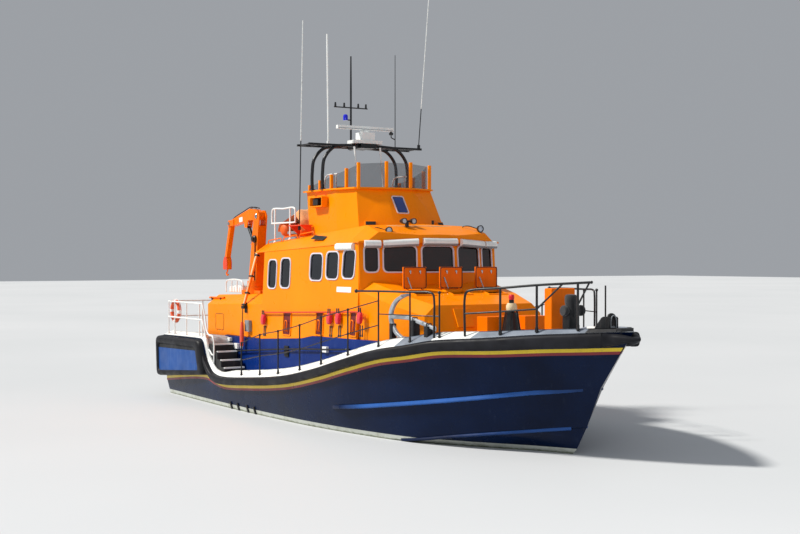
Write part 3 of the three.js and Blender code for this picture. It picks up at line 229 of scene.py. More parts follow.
def paint(name, colour, rough=0.32, patch=1.3, shade=0.86, streak=0.18, dirt=(70, 50, 35), grain=240.0,
          relief=0.04, metal=0.0, gloss=0.45):
    """Painted or moulded surface: cloudy colour, faint vertical streaks, uneven gloss."""
    look = Look(name)
    base = linear(*colour)
    tone = look.mix(look.patches(patch, 6.0, 0.35, 0.65), toned(base, shade), base)
    tone = look.mix(look.patches(2.3, 5.0, 0.55, 0.8, streak, 0.6, (5.0, 5.0, 0.45)), tone, dirt)
    tone = look.mix(look.patches(38.0, 2.0, 0.7, 0.78, streak), tone, dirt)
    return look.finish(tone, rough, grain, relief, gloss=gloss, metal=metal)


def hull_paint():
    """Antifouling under water, a pale band over the waterline, navy above."""
    look = Look("hull_paint")
    z = look.part(2)
    navy = look.mix(look.patches(0.8, 7.0, 0.3, 0.7), (1, 15, 42), (3, 25, 60))
    navy = look.mix(look.patches(3.0, 6.0, 0.64, 0.82, 0.14, 0.65, (0.5, 0.5, 5.0)), navy, (70, 90, 126))
    navy = look.mix(look.patches(2.0, 5.0, 0.62, 0.85, 0.1, stretch=(4.0, 4.0, 0.3)), navy, (90, 106, 134))
    band = look.mix(look.patches(5.0, 6.0, 0.45, 0.75, 0.5), (190, 194, 186), (138, 138, 118))
    edge = look.node("Math", {0: z, 1: look.patches(9.0, 4.0, 0.3, 0.7, 0.03)}, operation="SUBTRACT")[0]
    band = look.mix(look.ramp(edge, 0.035, 0.0, 0.0, 0.75), band, (74, 84, 48))
    red = look.mix(look.patches(3.0, 7.0, 0.35, 0.7), (92, 30, 26), (124, 46, 36))
    red = look.mix(look.patches(4.0, 8.0, 0.56, 0.72, 0.5, 0.7, (1.0, 1.0, 2.5)), red, (70, 82, 52))
    tone = look.mix(look.above(z, 0.0), red, band)
    return look.finish(look.mix(look.above(z, BOOT_TOP), tone, navy), 0.24, 160.0, 0.03, 0.35, 0.12)


def ledge_highlight_paint(name, colour, begins, ends):
    """Lighter blue on a ledge, a painted highlight that goes over into the hull's navy where it begins and
    ends, x in metres.
    """
    look = Look(name)
    x, base, navy = look.part(0), linear(*colour), (3, 22, 56)
    tone = look.mix(look.patches(2.0, 6.0, 0.3, 0.7), toned(base, 0.75), base)
    tone = look.mix(look.ramp(x, *begins), navy, tone)
    return look.finish(look.mix(look.ramp(x, *ends), tone, navy), 0.35, gloss=0.2)


def toe_paint():
    """White edge board, grey under the anchor and towards the bow, and black at the nose."""
    look = Look("toe_paint")
    x = look.part(0)
    white = look.mix(look.patches(4.0, 7.0, 0.4, 0.7), (240, 241, 238), (212, 213, 210))
    grey = look.mix(look.patches(3.0, 7.0, 0.35, 0.7), (128, 137, 150), (100, 108, 120))
    tone = white
    for start, end, paint_from in ((3.94, 3.95, grey), (4.89, 4.9, white), (5.75, 5.76, grey),
                                   (7.78, 7.8, (24, 25, 29))):
        tone = look.mix(look.ramp(x, start, end), tone, paint_from)
    grime = look.patches(6.0, 6.0, 0.55, 0.8, 0.35, 0.7, (2.0, 2.0, 9.0))
    return look.finish(look.mix(grime, tone, (96, 88, 76)), 0.4, 180.0, 0.06)


def rubber():
    """Thick fender rubber, greyed and scuffed along its length."""
    look = Look("fender_rubber")
    tone = look.mix(look.patches(2.2, 8.0, 0.3, 0.7, rough=0.65), (14, 14, 18), (33, 34, 40))
    tone = look.mix(look.patches(4.0, 7.0, 0.62, 0.8, 0.35, 0.7, (0.9, 0.9, 14.0)), tone, (104, 106, 112))
    tone = look.mix(look.patches(26.0, 5.0, 0.66, 0.82, 0.22, 0.7), tone, (130, 130, 130))
    return look.finish(tone, 0.5, 95.0, 0.16, 0.3, 0.18)


def deck_tread():
    """Non-slip deck: pale grey with a raised diamond grain."""
    look = Look("deck_tread")
    tone = look.mix(look.patches(1.8, 8.0, 0.35, 0.68, rough=0.65), (142, 149, 157), (172, 178, 183))
    look.colour(look.mix(look.patches(7.0, 7.0, 0.56, 0.78, 0.5, 0.7), tone, (112, 112, 108)))
    look.put(rough=0.75)
    cells = look.node("TexVoronoi", {"Vector": look.place, "Scale": 55.0}, feature="DISTANCE_TO_EDGE")[0]
    look.bump(cells, 0.5, 0.003)
    return look.material


def window_glass(name, tint, alpha=1.0):
    look = Look(name)
    base = linear(*tint)
    # Lighter cloudy patches, 2.6 times the tint, are painted reflections on the glass.
    tone = look.mix(look.patches(1.6, 5.0, 0.35, 0.7), base, toned(base, 2.6))
    return look.finish(tone, 0.06, 12.0, 0.008, 0.4, 0.7, alpha=alpha)


def aerial_paint(name, level):
    """A whip that is black up to a height and white above it."""
    look = Look(name)
    worn = look.patches(14.0, 6.0, 0.4, 0.7)
    black = look.mix(worn, (22, 23, 26), (40, 42, 45))
    white = look.mix(worn, (226, 228, 226), (196, 198, 196))
    return look.finish(look.mix(look.above(look.part(2), level), black, white), 0.35)


def cloth(name, colour, weave=260.0, fade=0.8):
    """Woven cover: crossed threads, faded in patches."""
    look = Look(name)
    base = linear(*colour)
    tone = look.mix(look.patches(2.5, 7.0, 0.35, 0.7, rough=0.65), base, toned(base, fade))
    warp, weft = (look.node("TexWave", {"Vector": look.place, "Scale": weave}, bands_direction=way)[1]
                  for way in "XY")
    threads = look.node("Math", {0: warp, 1: weft}, operation="MAXIMUM")[0]
    look.colour(look.mix(look.ramp(threads, 0.0, 1.0, 0.25, 0.0), tone, toned(base, 0.5)))
    look.put(rough=0.85, sheen=0.25)
    look.bump(look.node("Math", {0: threads, 1: look.noise(9.0, 5.0)}, operation="ADD")[0], 0.35)
    return look.material


HULL_PAINT = hull_paint()
TOE_PAINT = toe_paint()
RUBBER = rubber()
DECK_TREAD = deck_tread()
ORANGE = paint("house_orange", (252, 139, 0), 0.34, 0.9, 0.92, 0.1, (150, 70, 10), gloss=0.12)
GEAR_ORANGE = paint("gear_orange", (248, 116, 0), 0.36, 1.6, 0.86, 0.2, (96, 48, 16), gloss=0.12)
RED_ORANGE = paint("red_orange", (232, 70, 34), 0.42, 3.0, 0.82, 0.3, (80, 30, 20))
TRUNK_BLUE = paint("trunk_blue", (8, 44, 118), 0.32, 1.1, 0.78, 0.2, (70, 92, 140), gloss=0.12)
# Lighter blue on the chine rail and the spray rail: painted highlight.
CHINE_HIGHLIGHT = ledge_highlight_paint("chine_highlight_blue", (38, 84, 156), (4.6, 7.0), (9.0, 9.5))
PANEL_BLUE = paint("panel_blue", (16, 72, 144), 0.42, 1.5, 0.84, 0.3, (110, 134, 172), gloss=0.3)
RAIL_HIGHLIGHT = ledge_highlight_paint("rail_highlight_blue", (44, 92, 166), (1.8, 2.8), (6.4, 7.7))
YELLOW = paint("stripe_yellow", (226, 196, 34), 0.36, 2.0, 0.86, 0.3, (110, 92, 30))
DARK_RED = paint("stripe_red", (132, 26, 34), 0.36, 2.0, 0.8, 0.2, (60, 20, 20))
WHITE = paint("gear_white", (238, 240, 238), 0.3, 2.4, 0.9, 0.16, (120, 112, 98))
FRAME_WHITE = paint("frame_white", (214, 210, 222), 0.38, 5.0, 0.9, 0.12, (120, 116, 110))
BLACK = paint("gear_black", (22, 23, 26), 0.36, 3.0, 0.7, 0.25, (92, 90, 86))
TREAD_BLACK = paint("tread_black", (38, 39, 42), 0.72, 6.0, 0.7, 0.35, (104, 100, 92), 90.0, 0.4)
GREY = paint("gear_grey", (140, 146, 152), 0.42, 3.0, 0.82, 0.3, (90, 84, 76))
GALVANISED = paint("galvanised", (176, 182, 188), 0.45, 9.0, 0.72, 0.35, (110, 96, 84), 60.0, 0.2,
                   metal=0.35)
STEEL = paint("steel", (198, 200, 202), 0.2, 4.0, 0.9, 0.1, (120, 100, 80), metal=1.0)
BRONZE = paint("bronze", (176, 138, 78), 0.32, 5.0, 0.7, 0.4, (74, 92, 70), metal=0.9)
RING_RED = paint("ring_red", (226, 92, 46), 0.5, 4.0, 0.84, 0.25, (120, 60, 50))
SEAL = paint("seal_black", (16, 16, 18), 0.6, 8.0, 0.8, 0.2, (70, 70, 70), 120.0, 0.15)
# Dark red that stands for the shade inside the wall recesses: painted shade.
RECESS_SHADE_RED = paint("recess_shade_red", (112, 22, 20), 0.6, 5.0, 0.7, 0.2, (50, 14, 12))
SIGNAL_RED = paint("signal_red", (226, 28, 52), 0.42, 4.0, 0.86, 0.2, (120, 20, 34))
CREAM = paint("cream", (226, 208, 168), 0.5, 5.0, 0.86, 0.3, (130, 108, 76))
HYPALON = paint("hypalon", (238, 108, 30), 0.55, 4.0, 0.84, 0.25, (120, 60, 30), 150.0, 0.12)
COVER = cloth("boat_cover", (250, 176, 112))
POUCH = cloth("red_pouch", (228, 22, 48), 320.0, 0.86)
STROP = cloth("strop_cloth", (226, 70, 28), 300.0, 0.84)
CANVAS = cloth("black_canvas", (30, 31, 34), 300.0, 1.6)
PANE = window_glass("pane", (12, 14, 18))
FRONT_PANE = window_glass("front_pane", (26, 12, 10))
BLUE_PANE = window_glass("blue_pane", (22, 40, 92))
SMOKED = window_glass("smoked_screen", (48, 50, 54), 0.3)
LENS = window_glass("lamp_lens", (140, 150, 160))
BLUE_LAMP = window_glass("blue_lamp", (8, 16, 150))


# Shapes
def at(rows, x):
    """The point in metres on a table's smooth line, at x in millimetres."""
    return Vector((x, along(rows, x, 1), along(rows, x, 2))) / 1000


def along(rows, x, column):
    last = len(rows) - 1
    if x <= rows[0][0]:
        return rows[0][column]
    if x >= rows[last][0]:
        return rows[last][column]
    k = next(i for i in range(last) if x <= rows[i + 1][0])

    def grade(i):
        return (rows[i + 1][column] - rows[i][column]) / (rows[i + 1][0] - rows[i][0])

    def tangent(i):
        if i in (0, last):
            return grade(min(i, last - 1))
        before, after = grade(i - 1), grade(i)
        return 0 if before * after <= 0 else 2 * before * after / (before + after)

    span = rows[k + 1][0] - rows[k][0]
    t = (x - rows[k][0]) / span
    t2, t3 = t * t, t * t * t
    return ((2 * t3 - 3 * t2 + 1) * rows[k][column] + (t3 - 2 * t2 + t) * span * tangent(k)
            + (3 * t2 - 2 * t3) * rows[k + 1][column] + (t3 - t2) * span * tangent(k + 1))


def steps_between(low, high, count):
    return [low + (high - low) * i / count for i in range(count + 1)]


def shares(count):
    return steps_between(0.0, 1.0, count)


def around(count):
    """Angles spread evenly over a full turn."""
    return [2 * math.pi * k / count for k in range(count)]


def clamp(value):
    return min(1.0, max(0.0, value))


def both_ways(half):
    """A path on from the starboard half, with its mirror image in reverse."""
    return half + [(x, -y, z) for x, y, z in half[::-1]]


def disc(radius, low, high):
    """A plain disc's profile for a turned body."""
    return [(0.0, low), (radius, low), (radius, high), (0.0, high)]


def signed_power(value, power):
    return math.copysign(abs(value) ** power, value)


def upward(height):
    return Vector((0, 0, height))


def facing(origin, ahead, up):
    """A frame at origin: local x along ahead, y up, z out of the face."""
    x = Vector(ahead).normalized()
    z = x.cross(Vector(up)).normalized()
    y = z.cross(x)
    made = Matrix((x, y, z)).transposed().to_4x4()
    made.translation = Vector(origin)
    return made


# A level frame's first two directions, named for where its face looks
TO_PORT = ((-1, 0, 0), (0, 0, 1))
TO_STARBOARD = ((1, 0, 0), (0, 0, 1))
AHEAD = ((0, 1, 0), (0, 0, 1))
ASTERN = ((0, -1, 0), (0, 0, 1))
shift = Matrix.Translation


def rounded(corners, radius, steps=6):
    """A closed outline with its corners rounded."""
    made = []
    count = len(corners)
    for i, corner in enumerate(corners):
        corner = Vector(corner)
        ends = [Vector(corners[(i + k) % count]) - corner for k in (-1, 1)]
        first, second = (corner + end.normalized() * min(radius, end.length / 2) for end in ends)
        for step in range(steps + 1):
            t = step / steps
            made.append(first * (1 - t) ** 2 + corner * 2 * t * (1 - t) + second * t ** 2)
    return made


def oblong(x0, y0, x1, y1):
    return [(x0, y0), (x1, y0), (x1, y1), (x0, y1)]


def plate(x0, y0, x1, y1, radius, steps=6):
    """The outline of a rectangle with rounded corners."""
    return rounded(oblong(x0, y0, x1, y1), radius, steps)


def grown(corners, distance):
    """A convex outline with every edge moved out."""
    count = len(corners)
    points = [Vector(c) for c in corners]
    area = sum(points[i].x * points[(i + 1) % count].y - points[(i + 1) % count].x * points[i].y
               for i in range(count))
    turn = 1 if area > 0 else -1
    made = []
    for i, corner in enumerate(points):
        before = (corner - points[i - 1]).normalized()
        after = (points[(i + 1) % count] - corner).normalized()
        outs = [Vector((edge.y, -edge.x)) * turn for edge in (before, after)]
        bisector = (outs[0] + outs[1]).normalized()
        made.append(corner + bisector * distance / bisector.dot(outs[0]))
    return made


def smooth_path(points, per=8):
    """Centripetal curve through the points, as the frame's bent tubes follow."""
    p = [Vector(q) for q in points]
    p = [p[0] * 2 - p[1], *p, p[-1] * 2 - p[-2]]
    made = []
    for i in range(1, len(p) - 2):
        knots = [0.0]
        for a, b in zip(p[i - 1:i + 2], p[i:i + 3]):
            knots.append(knots[-1] + max((b - a).length, 1e-6) ** 0.5)
        for step in range(per):
            t = knots[1] + (knots[2] - knots[1]) * step / per

            def mid(a, b, ta, tb):
                return a * ((tb - t) / (tb - ta)) + b * ((t - ta) / (tb - ta))

            a1, a2, a3 = (mid(p[i - 1 + k], p[i + k], knots[k], knots[k + 1]) for k in range(3))
            b1, b2 = (mid((a1, a2)[k], (a2, a3)[k], knots[k], knots[k + 2]) for k in range(2))
            made.append(mid(b1, b2, knots[1], knots[2]))
    made.append(p[-2])
    return made


class Shape:
    """Simple forms gathered into one mesh. A mark is the number of a face's material."""

    def __init__(self):
        self.points, self.faces, self.marks = [], [], []

    def add(self, points, faces, mark=0, place=None):
        start = len(self.points)
        self.points += [place @ Vector(p) if place else Vector(p) for p in points]
        self.faces += [[start + i for i in face] for face in faces]
        self.marks += [mark] * len(faces)
        return self

    def grid(self, rows, mark=0, round_rows=False, round_all=False, place=None):
        """A skin over rows of equally many points; round_rows joins each row's ends."""
        count = len(rows[0])
        faces = []
        for r in range(len(rows) if round_all else len(rows) - 1):
            following = (r + 1) % len(rows)
            for i in range(count if round_rows else count - 1):
                j = (i + 1) % count
                faces.append((r * count + i, r * count + j, following * count + j, following * count + i))
        return self.add([p for row in rows for p in row], faces, mark, place)

    def capped(self, rows, mark=0, place=None):
        """A closed body over rings, with flat ends."""
        start = len(self.points)
        self.grid(rows, mark, round_rows=True, place=place)
        count = len(rows[0])
        last = start + (len(rows) - 1) * count
        self.faces += [list(range(start, start + count))[::-1], list(range(last, last + count))]
        self.marks += [mark, mark]
        return self

    def box(self, low, high, mark=0, place=None):
        (x0, y0, z0), (x1, y1, z1) = low, high
        return self.prism(oblong(x0, y0, x1, y1), z0, z1, mark, place)

    def prism(self, outline, z0, z1, mark=0, place=None):
        return self.capped([[(p[0], p[1], z) for p in outline] for z in (z0, z1)], mark, place)

    def hoop(self, outer, inner, z0, z1, mark=0, place=None):
        """A flat ring between two outlines of equally many points."""
        rows = [[(p[0], p[1], z) for p in line] for line, z in
                ((outer, z0), (outer, z1), (inner, z1), (inner, z0))]
        return self.grid([list(row) for row in zip(*rows)], mark, round_rows=True, round_all=True,
                         place=place)

    def rim(self, corners, radius, out, inner_radius, steps, *rest):
        """A hoop between rounded corners and the same ones moved out."""
        return self.hoop(rounded(corners, radius, steps), rounded(grown(corners, out), inner_radius, steps),
                         *rest)

    def tube(self, points, radius, mark=0, sides=12, closed=False):
        """A round bar along points; radius is one number or one for each point."""
        points = [Vector(p) for p in points]
        radii = radius if isinstance(radius, (list, tuple)) else [radius] * len(points)
        count = len(points)
        side = None
        rings = []
        for i, point in enumerate(points):
            before = points[(i - 1) % count] if closed or i else point
            after = points[(i + 1) % count] if closed or i + 1 < count else point
            ahead = (after - before).normalized()
            if side is None:
                side = ahead.orthogonal().normalized()
            side = (side - ahead * side.dot(ahead)).normalized()
            other = ahead.cross(side)
            turns = around(sides)
            rings.append([point + (side * math.cos(a) + other * math.sin(a)) * radii[i] for a in turns])
        if closed:
            return self.grid(rings, mark, round_rows=True, round_all=True)
        return self.capped(rings, mark)

    def upright(self, x, y, low, high, *rest, **more):
        return self.tube([(x, y, low), (x, y, high)], *rest, **more)

    def pipe(self, points, per, *rest, **more):
        """A bar along the smooth path through the points."""
        return self.tube(smooth_path(points, per), *rest, **more)

    def lathe(self, profile, place, mark=0, sides=28):
        """A body turned about the place's z; profile columns are radius and height."""
        turns = around(sides)
        rows = [[(r * math.cos(a), r * math.sin(a), h) for a in turns] for r, h in profile]
        return self.capped(rows, mark, place)

    def mirrored(self):
        made = Shape()
        made.points = [Vector((p.x, -p.y, p.z)) for p in self.points]
        made.faces = [list(reversed(face)) for face in self.faces]
        made.marks = list(self.marks)
        return made

    def both_sides(self):
        other = self.mirrored()
        start = len(self.points)
        self.points += other.points
        self.faces += [[start + i for i in face] for face in other.faces]
        self.marks += other.marks
        return self

    def piece(self, name, materials, body="boat", slot=None, bevel=0.0, segments=2, smooth=35, weld=False):
        mesh = bpy.data.meshes.new(name)
        mesh.from_pydata([tuple(p) for p in self.points], [], self.faces)
        mesh.update()
        materials = materials if isinstance(materials, (list, tuple)) else [materials]
        for material in materials:
            mesh.materials.append(material)
        for polygon, mark in zip(mesh.polygons, self.marks):
            polygon.material_index = mark
            polygon.use_smooth = True
        tidy = bmesh.new()
        tidy.from_mesh(mesh)
        if weld:
            bmesh.ops.remove_doubles(tidy, verts=tidy.verts, dist=1e-5)
        bmesh.ops.recalc_face_normals(tidy, faces=tidy.faces)
        tidy.to_mesh(mesh)
        tidy.free()
        mesh.set_sharp_from_angle(angle=math.radians(smooth))
        made = show(name, mesh)
        if bevel:
            soften(made, bevel, segments)
        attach(made, body)
        return made


def soften(thing, width, segments=2):
    edge = thing.modifiers.new("edges", "BEVEL")
    edge.width = width
    edge.segments = segments
    edge.limit_method = "ANGLE"
    edge.angle_limit = math.radians(35)
    edge.harden_normals = True
    edge.use_clamp_overlap = True


# Packed nodes that keep their shape. columns: finish, width and steps of the eased edges, nodes
FINISHES = [
    (RUBBER, 0.045, 4, "fender_transom"), (TREAD_BLACK, 0.008, 2, "steps_stb steps_port"),
    (TRUNK_BLUE, 0.03, 3, "trunk"), (ORANGE, 0.045, 4, "aft_casing"),
    (ORANGE, 0.02, 3, "wall_stb wall_port"),
    (ORANGE, 0.012, 2, "wall_front"), (ORANGE, 0.01, 2, "wall_aft"), (ORANGE, 0.03, 3, "roof"),
    (ORANGE, 0.035, 3, "coachroof"), (ORANGE, 0.022, 3, "flying_bridge"), (ORANGE, 0.008, 2, "door_fore"),
    (ORANGE, 0.012, 3, "door_wheelhouse"), (PANE, 0, 0, "glass_stb glass_port"),
    (FRONT_PANE, 0, 0, "glass_front"),
    (SMOKED, 0, 0, "screen"), (WHITE, 0.03, 3, "radar_base"), (WHITE, 0.02, 3, "radar_scanner"),
    (WHITE, 0, 0, "aerial_white"), (aerial_paint("aerial_port_paint", 7.79), 0, 0, "aerial_port"),
    (aerial_paint("aerial_stb_paint", 6.9), 0, 0, "aerial_stb"),
    (GEAR_ORANGE, 0.012, 3,
     "crane_pedestal crane_post crane_boom crane_jib hatch_stb hatch_mid hatch_port"),
    (GEAR_ORANGE, 0.02, 3, "lockers"), (GEAR_ORANGE, 0.025, 3, "locker_bow"),
    (BLACK, 0.004, 2, "crane_barrel"),
    (STEEL, 0.003, 2, "crane_rod"), (GREY, 0.006, 2, "cradle"),
    (BRONZE, 0.005, 2, "propeller_stb propeller_port"),
    (GALVANISED, 0.008, 2, "rudder_stb rudder_port"),
]


def finish_nodes():
    for material, width, segments, names in FINISHES:
        for thing in (NODES[name] for name in names.split()):
            thing.data.materials.clear()
            thing.data.materials.append(material)
            if not width:
                continue
            thing.modifiers.new("weld", "WELD").merge_threshold = 0.0002
            flat = thing.modifiers.new("flat", "DECIMATE")
            flat.decimate_type = "DISSOLVE"
            flat.angle_limit = math.radians(1.5)
            soften(thing, width, segments)
            thing.modifiers["edges"].harden_normals = False
            thing.modifiers.new("normals", "WEIGHTED_NORMAL")


finish_nodes()


# Hull
def hull_lines(s):
    """Keel, inner chine, chine, rail and sheer on the port side, at a share of the length."""
    def place(rows, stem):
        return at(rows, STERN + s * (stem - STERN))
    keel, chine = place(KEEL, STEM_CHINE), place(CHINE, STEM_CHINE)
    rail, sheer = place(RAIL_LINE, STEM_RAIL), place(SHEER, STEM_SHEER)
    drop = 0.025 * min(1, chine.y / 0.3)
    inner = Vector((chine.x, max(0, chine.y - CHINE_FLAT), chine.z - drop))
    return keel, inner, chine, rail, sheer


HULL_STATIONS = sorted(set([i / 150 for i in range(151)]
                           + [(row[0] - STERN) / (STEM_SHEER - STERN) for row in SHEER]))


def hull():
    shell = Shape()
    rows = []
    for s in HULL_STATIONS:
        lines = hull_lines(s)
        half = [lines[0]]
        for first, second, parts in zip(lines, lines[1:], (5, 1, 4, 6)):
            half += [first.lerp(second, k / parts) for k in range(1, parts + 1)]
        rows.append([Vector((p.x, -p.y, p.z)) for p in half[:0:-1]] + half)
    shell.grid(rows)
    shell.add(rows[0], [list(range(len(rows[0])))])
    for side, _ in SIDES:
        skeg(shell, side)
    made = shell.piece("hull_shell", HULL_PAINT, slot="hull_navy", smooth=18, weld=True)
    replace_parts(made, "hull")


SKEG = [(-6.3, -0.6), (-6.3, -1.5), (-6.15, -1.78), (-3.4, -1.78), (-1.9, -0.9), (-1.7, -0.6)]
SKEG_HALF = 0.08


def skeg(shell, side):
    y = side * SHAFT_Y
    outline = rounded([(x, z) for x, z in SKEG], 0.06, 3)
    rings = []
    for inset, out in ((0.05, -SKEG_HALF), (0.0, -SKEG_HALF * 0.6), (0.0, SKEG_HALF * 0.6),
                       (0.05, SKEG_HALF)):
        ring = grown(outline, -inset)
        rings.append([(p[0], y + out, p[1]) for p in ring])
    shell.capped(rings)
    profile = [(0.0, 0), (0.07, 0), (0.095, 0.05), (0.095, 0.55), (0.05, 0.64), (0.0, 0.64)]
    shell.lathe(profile, facing((-6.64, y, -1.23), *AHEAD), sides=20)


def deck():
    floor = Shape()
    rows = []
    for x in steps_between(STERN, STEM_SHEER - 8, 170):
        edge = at(SHEER, x)
        crown = CAMBER * min(1, edge.y / 2)
        across = steps_between(-1.0, 1.0, 14)
        rows.append([(edge.x, edge.y * k, edge.z + 0.003 + crown * (1 - k * k)) for k in across])
    floor.grid(rows)
    floor.piece("deck", DECK_TREAD, slot="deck_edge", smooth=25)


def sheer_out(x):
    """The sheer's point on the port side and the level direction outwards."""
    here = at(SHEER, x)
    ahead = at(SHEER, min(STEM_SHEER, x + 20)) - at(SHEER, max(STERN, x - 20))
    return here, Vector((-ahead.y, ahead.x, 0)).normalized()


def sweep_sheer(shape, xs, section, mark=0, closed=True):
    """A bar along the port sheer; section gives distances outwards and up."""
    rows = []
    for x in xs:
        here, out = sheer_out(x)
        rows.append([here + out * a + upward(b) for a, b in section(x)])
    if closed:
        shape.capped(rows, mark)
    else:
        shape.grid(rows, mark)


def d_section(height, depth, inner=-0.05, steps=14, power=0.55):
    """A fender's bulging section: columns distance outwards, height."""
    made = [(inner, 0.0)]
    for k in range(steps + 1):
        turn = math.pi / 2 - math.pi * k / steps
        out = depth * abs(math.cos(turn)) ** power
        up = signed_power(math.sin(turn), power)
        made.append((out, (up - 1) * height / 2))
    return made + [(inner, -height)]


BELT_FROM = -5180
BELT_TO = 8050
BELT_DEPTH = 0.115


def belt():
    for side, name in SIDES:
        bar = Shape()
        xs = steps_between(BELT_FROM, BELT_TO, 150)
        sweep_sheer(bar, xs, lambda x: [(a, b - 0.006) for a, b in
                                        d_section(along(BELT_HEIGHT, x, 1) / 1000 - 0.006, BELT_DEPTH)])
        bar = bar if side > 0 else bar.mirrored()
        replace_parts(bar.piece("belt_" + name, RUBBER, slot="fender", smooth=50), "fender_belt_" + name)


def side_y(x, z):
    """Half breadth of the hull's topsides at x and height z, in metres."""
    sheer, rail = at(SHEER, x * 1000), at(RAIL_LINE, x * 1000)
    share = (z - rail.z) / (sheer.z - rail.z)
    return rail.y + (sheer.y - rail.y) * clamp(share)


QUARTER_OUTER = [(-8.65, 1.69), (-8.56, 0.5), (-5.13, 0.78), (-5.44, 1.715)]
QUARTER_INNER = [(-8.4, 1.42), (-8.36, 0.72), (-5.6, 0.9), (-5.79, 1.45)]
QUARTER_OUT = 2.9


def quarter():
    """The frame of fenders round the quarter, with the blue panel inside it; the panel's black top strip is
    a painted shadow under the top fender.
    """
    outer = rounded(QUARTER_OUTER, 0.16, 8)
    inner = rounded(QUARTER_INNER, 0.1, 8)
    ring = Shape()
    rows = []
    for a, b in zip(outer, inner):
        row = []
        for share in shares(12):
            p = a.lerp(b, share)
            root = side_y(max(p.x, -8.45), p.y) - 0.06
            bulge = (1 - abs(2 * share - 1) ** 3.2) ** 0.4
            row.append((p.x, root + (QUARTER_OUT - root) * bulge, p.y))
        rows.append(row)
    ring.grid(rows, round_rows=False, round_all=True)
    panel = Shape()
    corners = grown(QUARTER_INNER, 0.05)
    # The panel's upper strip takes the black seal paint and sits back a little: a painted shadow under the
    # top fender.
    for k, (low, high) in enumerate(((0.0, 0.84), (0.84, 1.0))):
        strip = []
        for u in shares(12):
            foot = corners[1].lerp(corners[2], u)
            head = corners[0].lerp(corners[3], u)
            line = [foot.lerp(head, v) for v in steps_between(low, high, 4)]
            face = [(p.x, QUARTER_OUT - 0.045 - 0.012 * k, p.y) for p in line]
            back = [(p.x, side_y(max(p.x, -8.45), p.y) - 0.03, p.y) for p in line]
            strip.append(face + back[::-1])
        panel.capped(strip, k)
    for side, name in SIDES:
        shape, sheet = (ring, panel) if side > 0 else (ring.mirrored(), panel.mirrored())
        made = shape.piece("quarter_fender_" + name, RUBBER, slot="fender", smooth=50)
        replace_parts(made, "fender_quarter_" + name)
        sheet.piece("quarter_panel_" + name, [PANEL_BLUE, SEAL], slot="hull_navy")


def bow_fender():
    """The rounded nose that closes the belts at the stem."""
    here, out = sheer_out(BELT_TO)
    start = here + out * (BELT_DEPTH + 0.008)
    half = [(start.x, start.y), (8.22, start.y - 0.135), (8.38, 0.255), (8.52, 0.15), (8.61, 0.065)]
    plan = smooth_path([(x, -y, 0) for x, y in half] + [(8.648, 0, 0)] + [(x, y, 0) for x, y in half[::-1]],
                       5)
    nose = Shape()
    rows = []
    for p in plan:
        share = clamp((p.x - BELT_TO / 1000) / 0.6)
        top = 2.5 - 0.085 * share ** 2
        foot = 2.185 + 0.15 * share ** 1.2
        inside = Vector((p.x - 0.24, p.y * 0.45, 0))
        row = []
        for a, b in d_section(top - foot, 1.0, 0.0, 16, 0.62):
            point = inside.lerp(p, min(a, 1.0))
            row.append((point.x, point.y, top + b))
        rows.append(row)
    nose.capped(rows)
    made = nose.piece("nose_fender", RUBBER, slot="fender", smooth=55)
    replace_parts(made, "fender_bow")


# Stripes under the fenders. columns: material, name, upper and lower edge below the fender
STRIPES = [(YELLOW, "yellow", 0.004, 0.074), (DARK_RED, "red", 0.074, 0.132)]
# Lower edge of the fenders round the quarter. columns: x, height
QUARTER_FOOT = [[-8450, 509], [-5200, 774], [-4700, 690], [-4300, 640], [-4100, 632]]


def fender_foot(x):
    """Height of the fender's lower edge at x in millimetres."""
    belt_foot = along(SHEER, x, 2) - along(BELT_HEIGHT, x, 1)
    if x > QUARTER_FOOT[-1][0]:
        return belt_foot / 1000
    return along(QUARTER_FOOT, x, 1) / 1000


def on_side(s, height):
    """The topsides' point at a station and a height, on the port side."""
    _, _, _, rail, sheer = hull_lines(s)
    share = (height - rail.z) / (sheer.z - rail.z)
    return rail.lerp(sheer, share)


def hull_band(upper, lower, s0, s1, out=0.004, count=190):
    """A thin band on the port topsides between two heights, each a function of x."""
    band = Shape()
    rows = []
    for s in steps_between(s0, s1, count):
        row = []
        for share in shares(3):
            point = on_side(s, upper(STERN + s * (STEM_SHEER - STERN)))
            for _ in range(6):
                x = point.x * 1000
                point = on_side(s, upper(x) + (lower(x) - upper(x)) * share)
            ahead = on_side(min(1, s + 0.004), point.z) - on_side(max(0, s - 0.004), point.z)
            normal = Vector((-ahead.y, ahead.x, 0)).normalized()
            row.append(point + normal * out)
        rows.append(row)
    band.grid(rows)
    return band


def stripes():
    for material, name, high, low in STRIPES:
        band = hull_band(lambda x: fender_foot(x) - high, lambda x: fender_foot(x) - low, 0.0, 0.999)
        band.both_sides().piece("stripe_" + name, material, slot="hull_navy")


def ledge(line, name, low_s, high_s, depth, tall, material):
    """A small ledge along one of the hull's lines, fading at its ends."""
    bar = Shape()
    rows = []
    for s in steps_between(low_s, high_s, 90):
        here = hull_lines(s)[line]
        ahead = hull_lines(min(1, s + 0.004))[line] - hull_lines(s - 0.004)[line]
        out = Vector((-ahead.y, ahead.x, 0)).normalized()
        fade = min(1.0, (s - low_s) / 0.02) * min(1.0, (high_s - s) / 0.1)
        reach = 0.012 + depth * fade
        rows.append([here - out * 0.03 + upward(tall), here + out * reach * 0.7 + upward(tall * 0.73),
                     here + out * reach, here + out * (reach - 0.006) - upward(0.022),
                     here - out * 0.03 - upward(0.04)])
    bar.capped(rows)
    bar.both_sides().piece(name, material, slot="hull_navy", smooth=30)


EXHAUST_XS = (-3.85, -3.42, -2.87, -2.46)


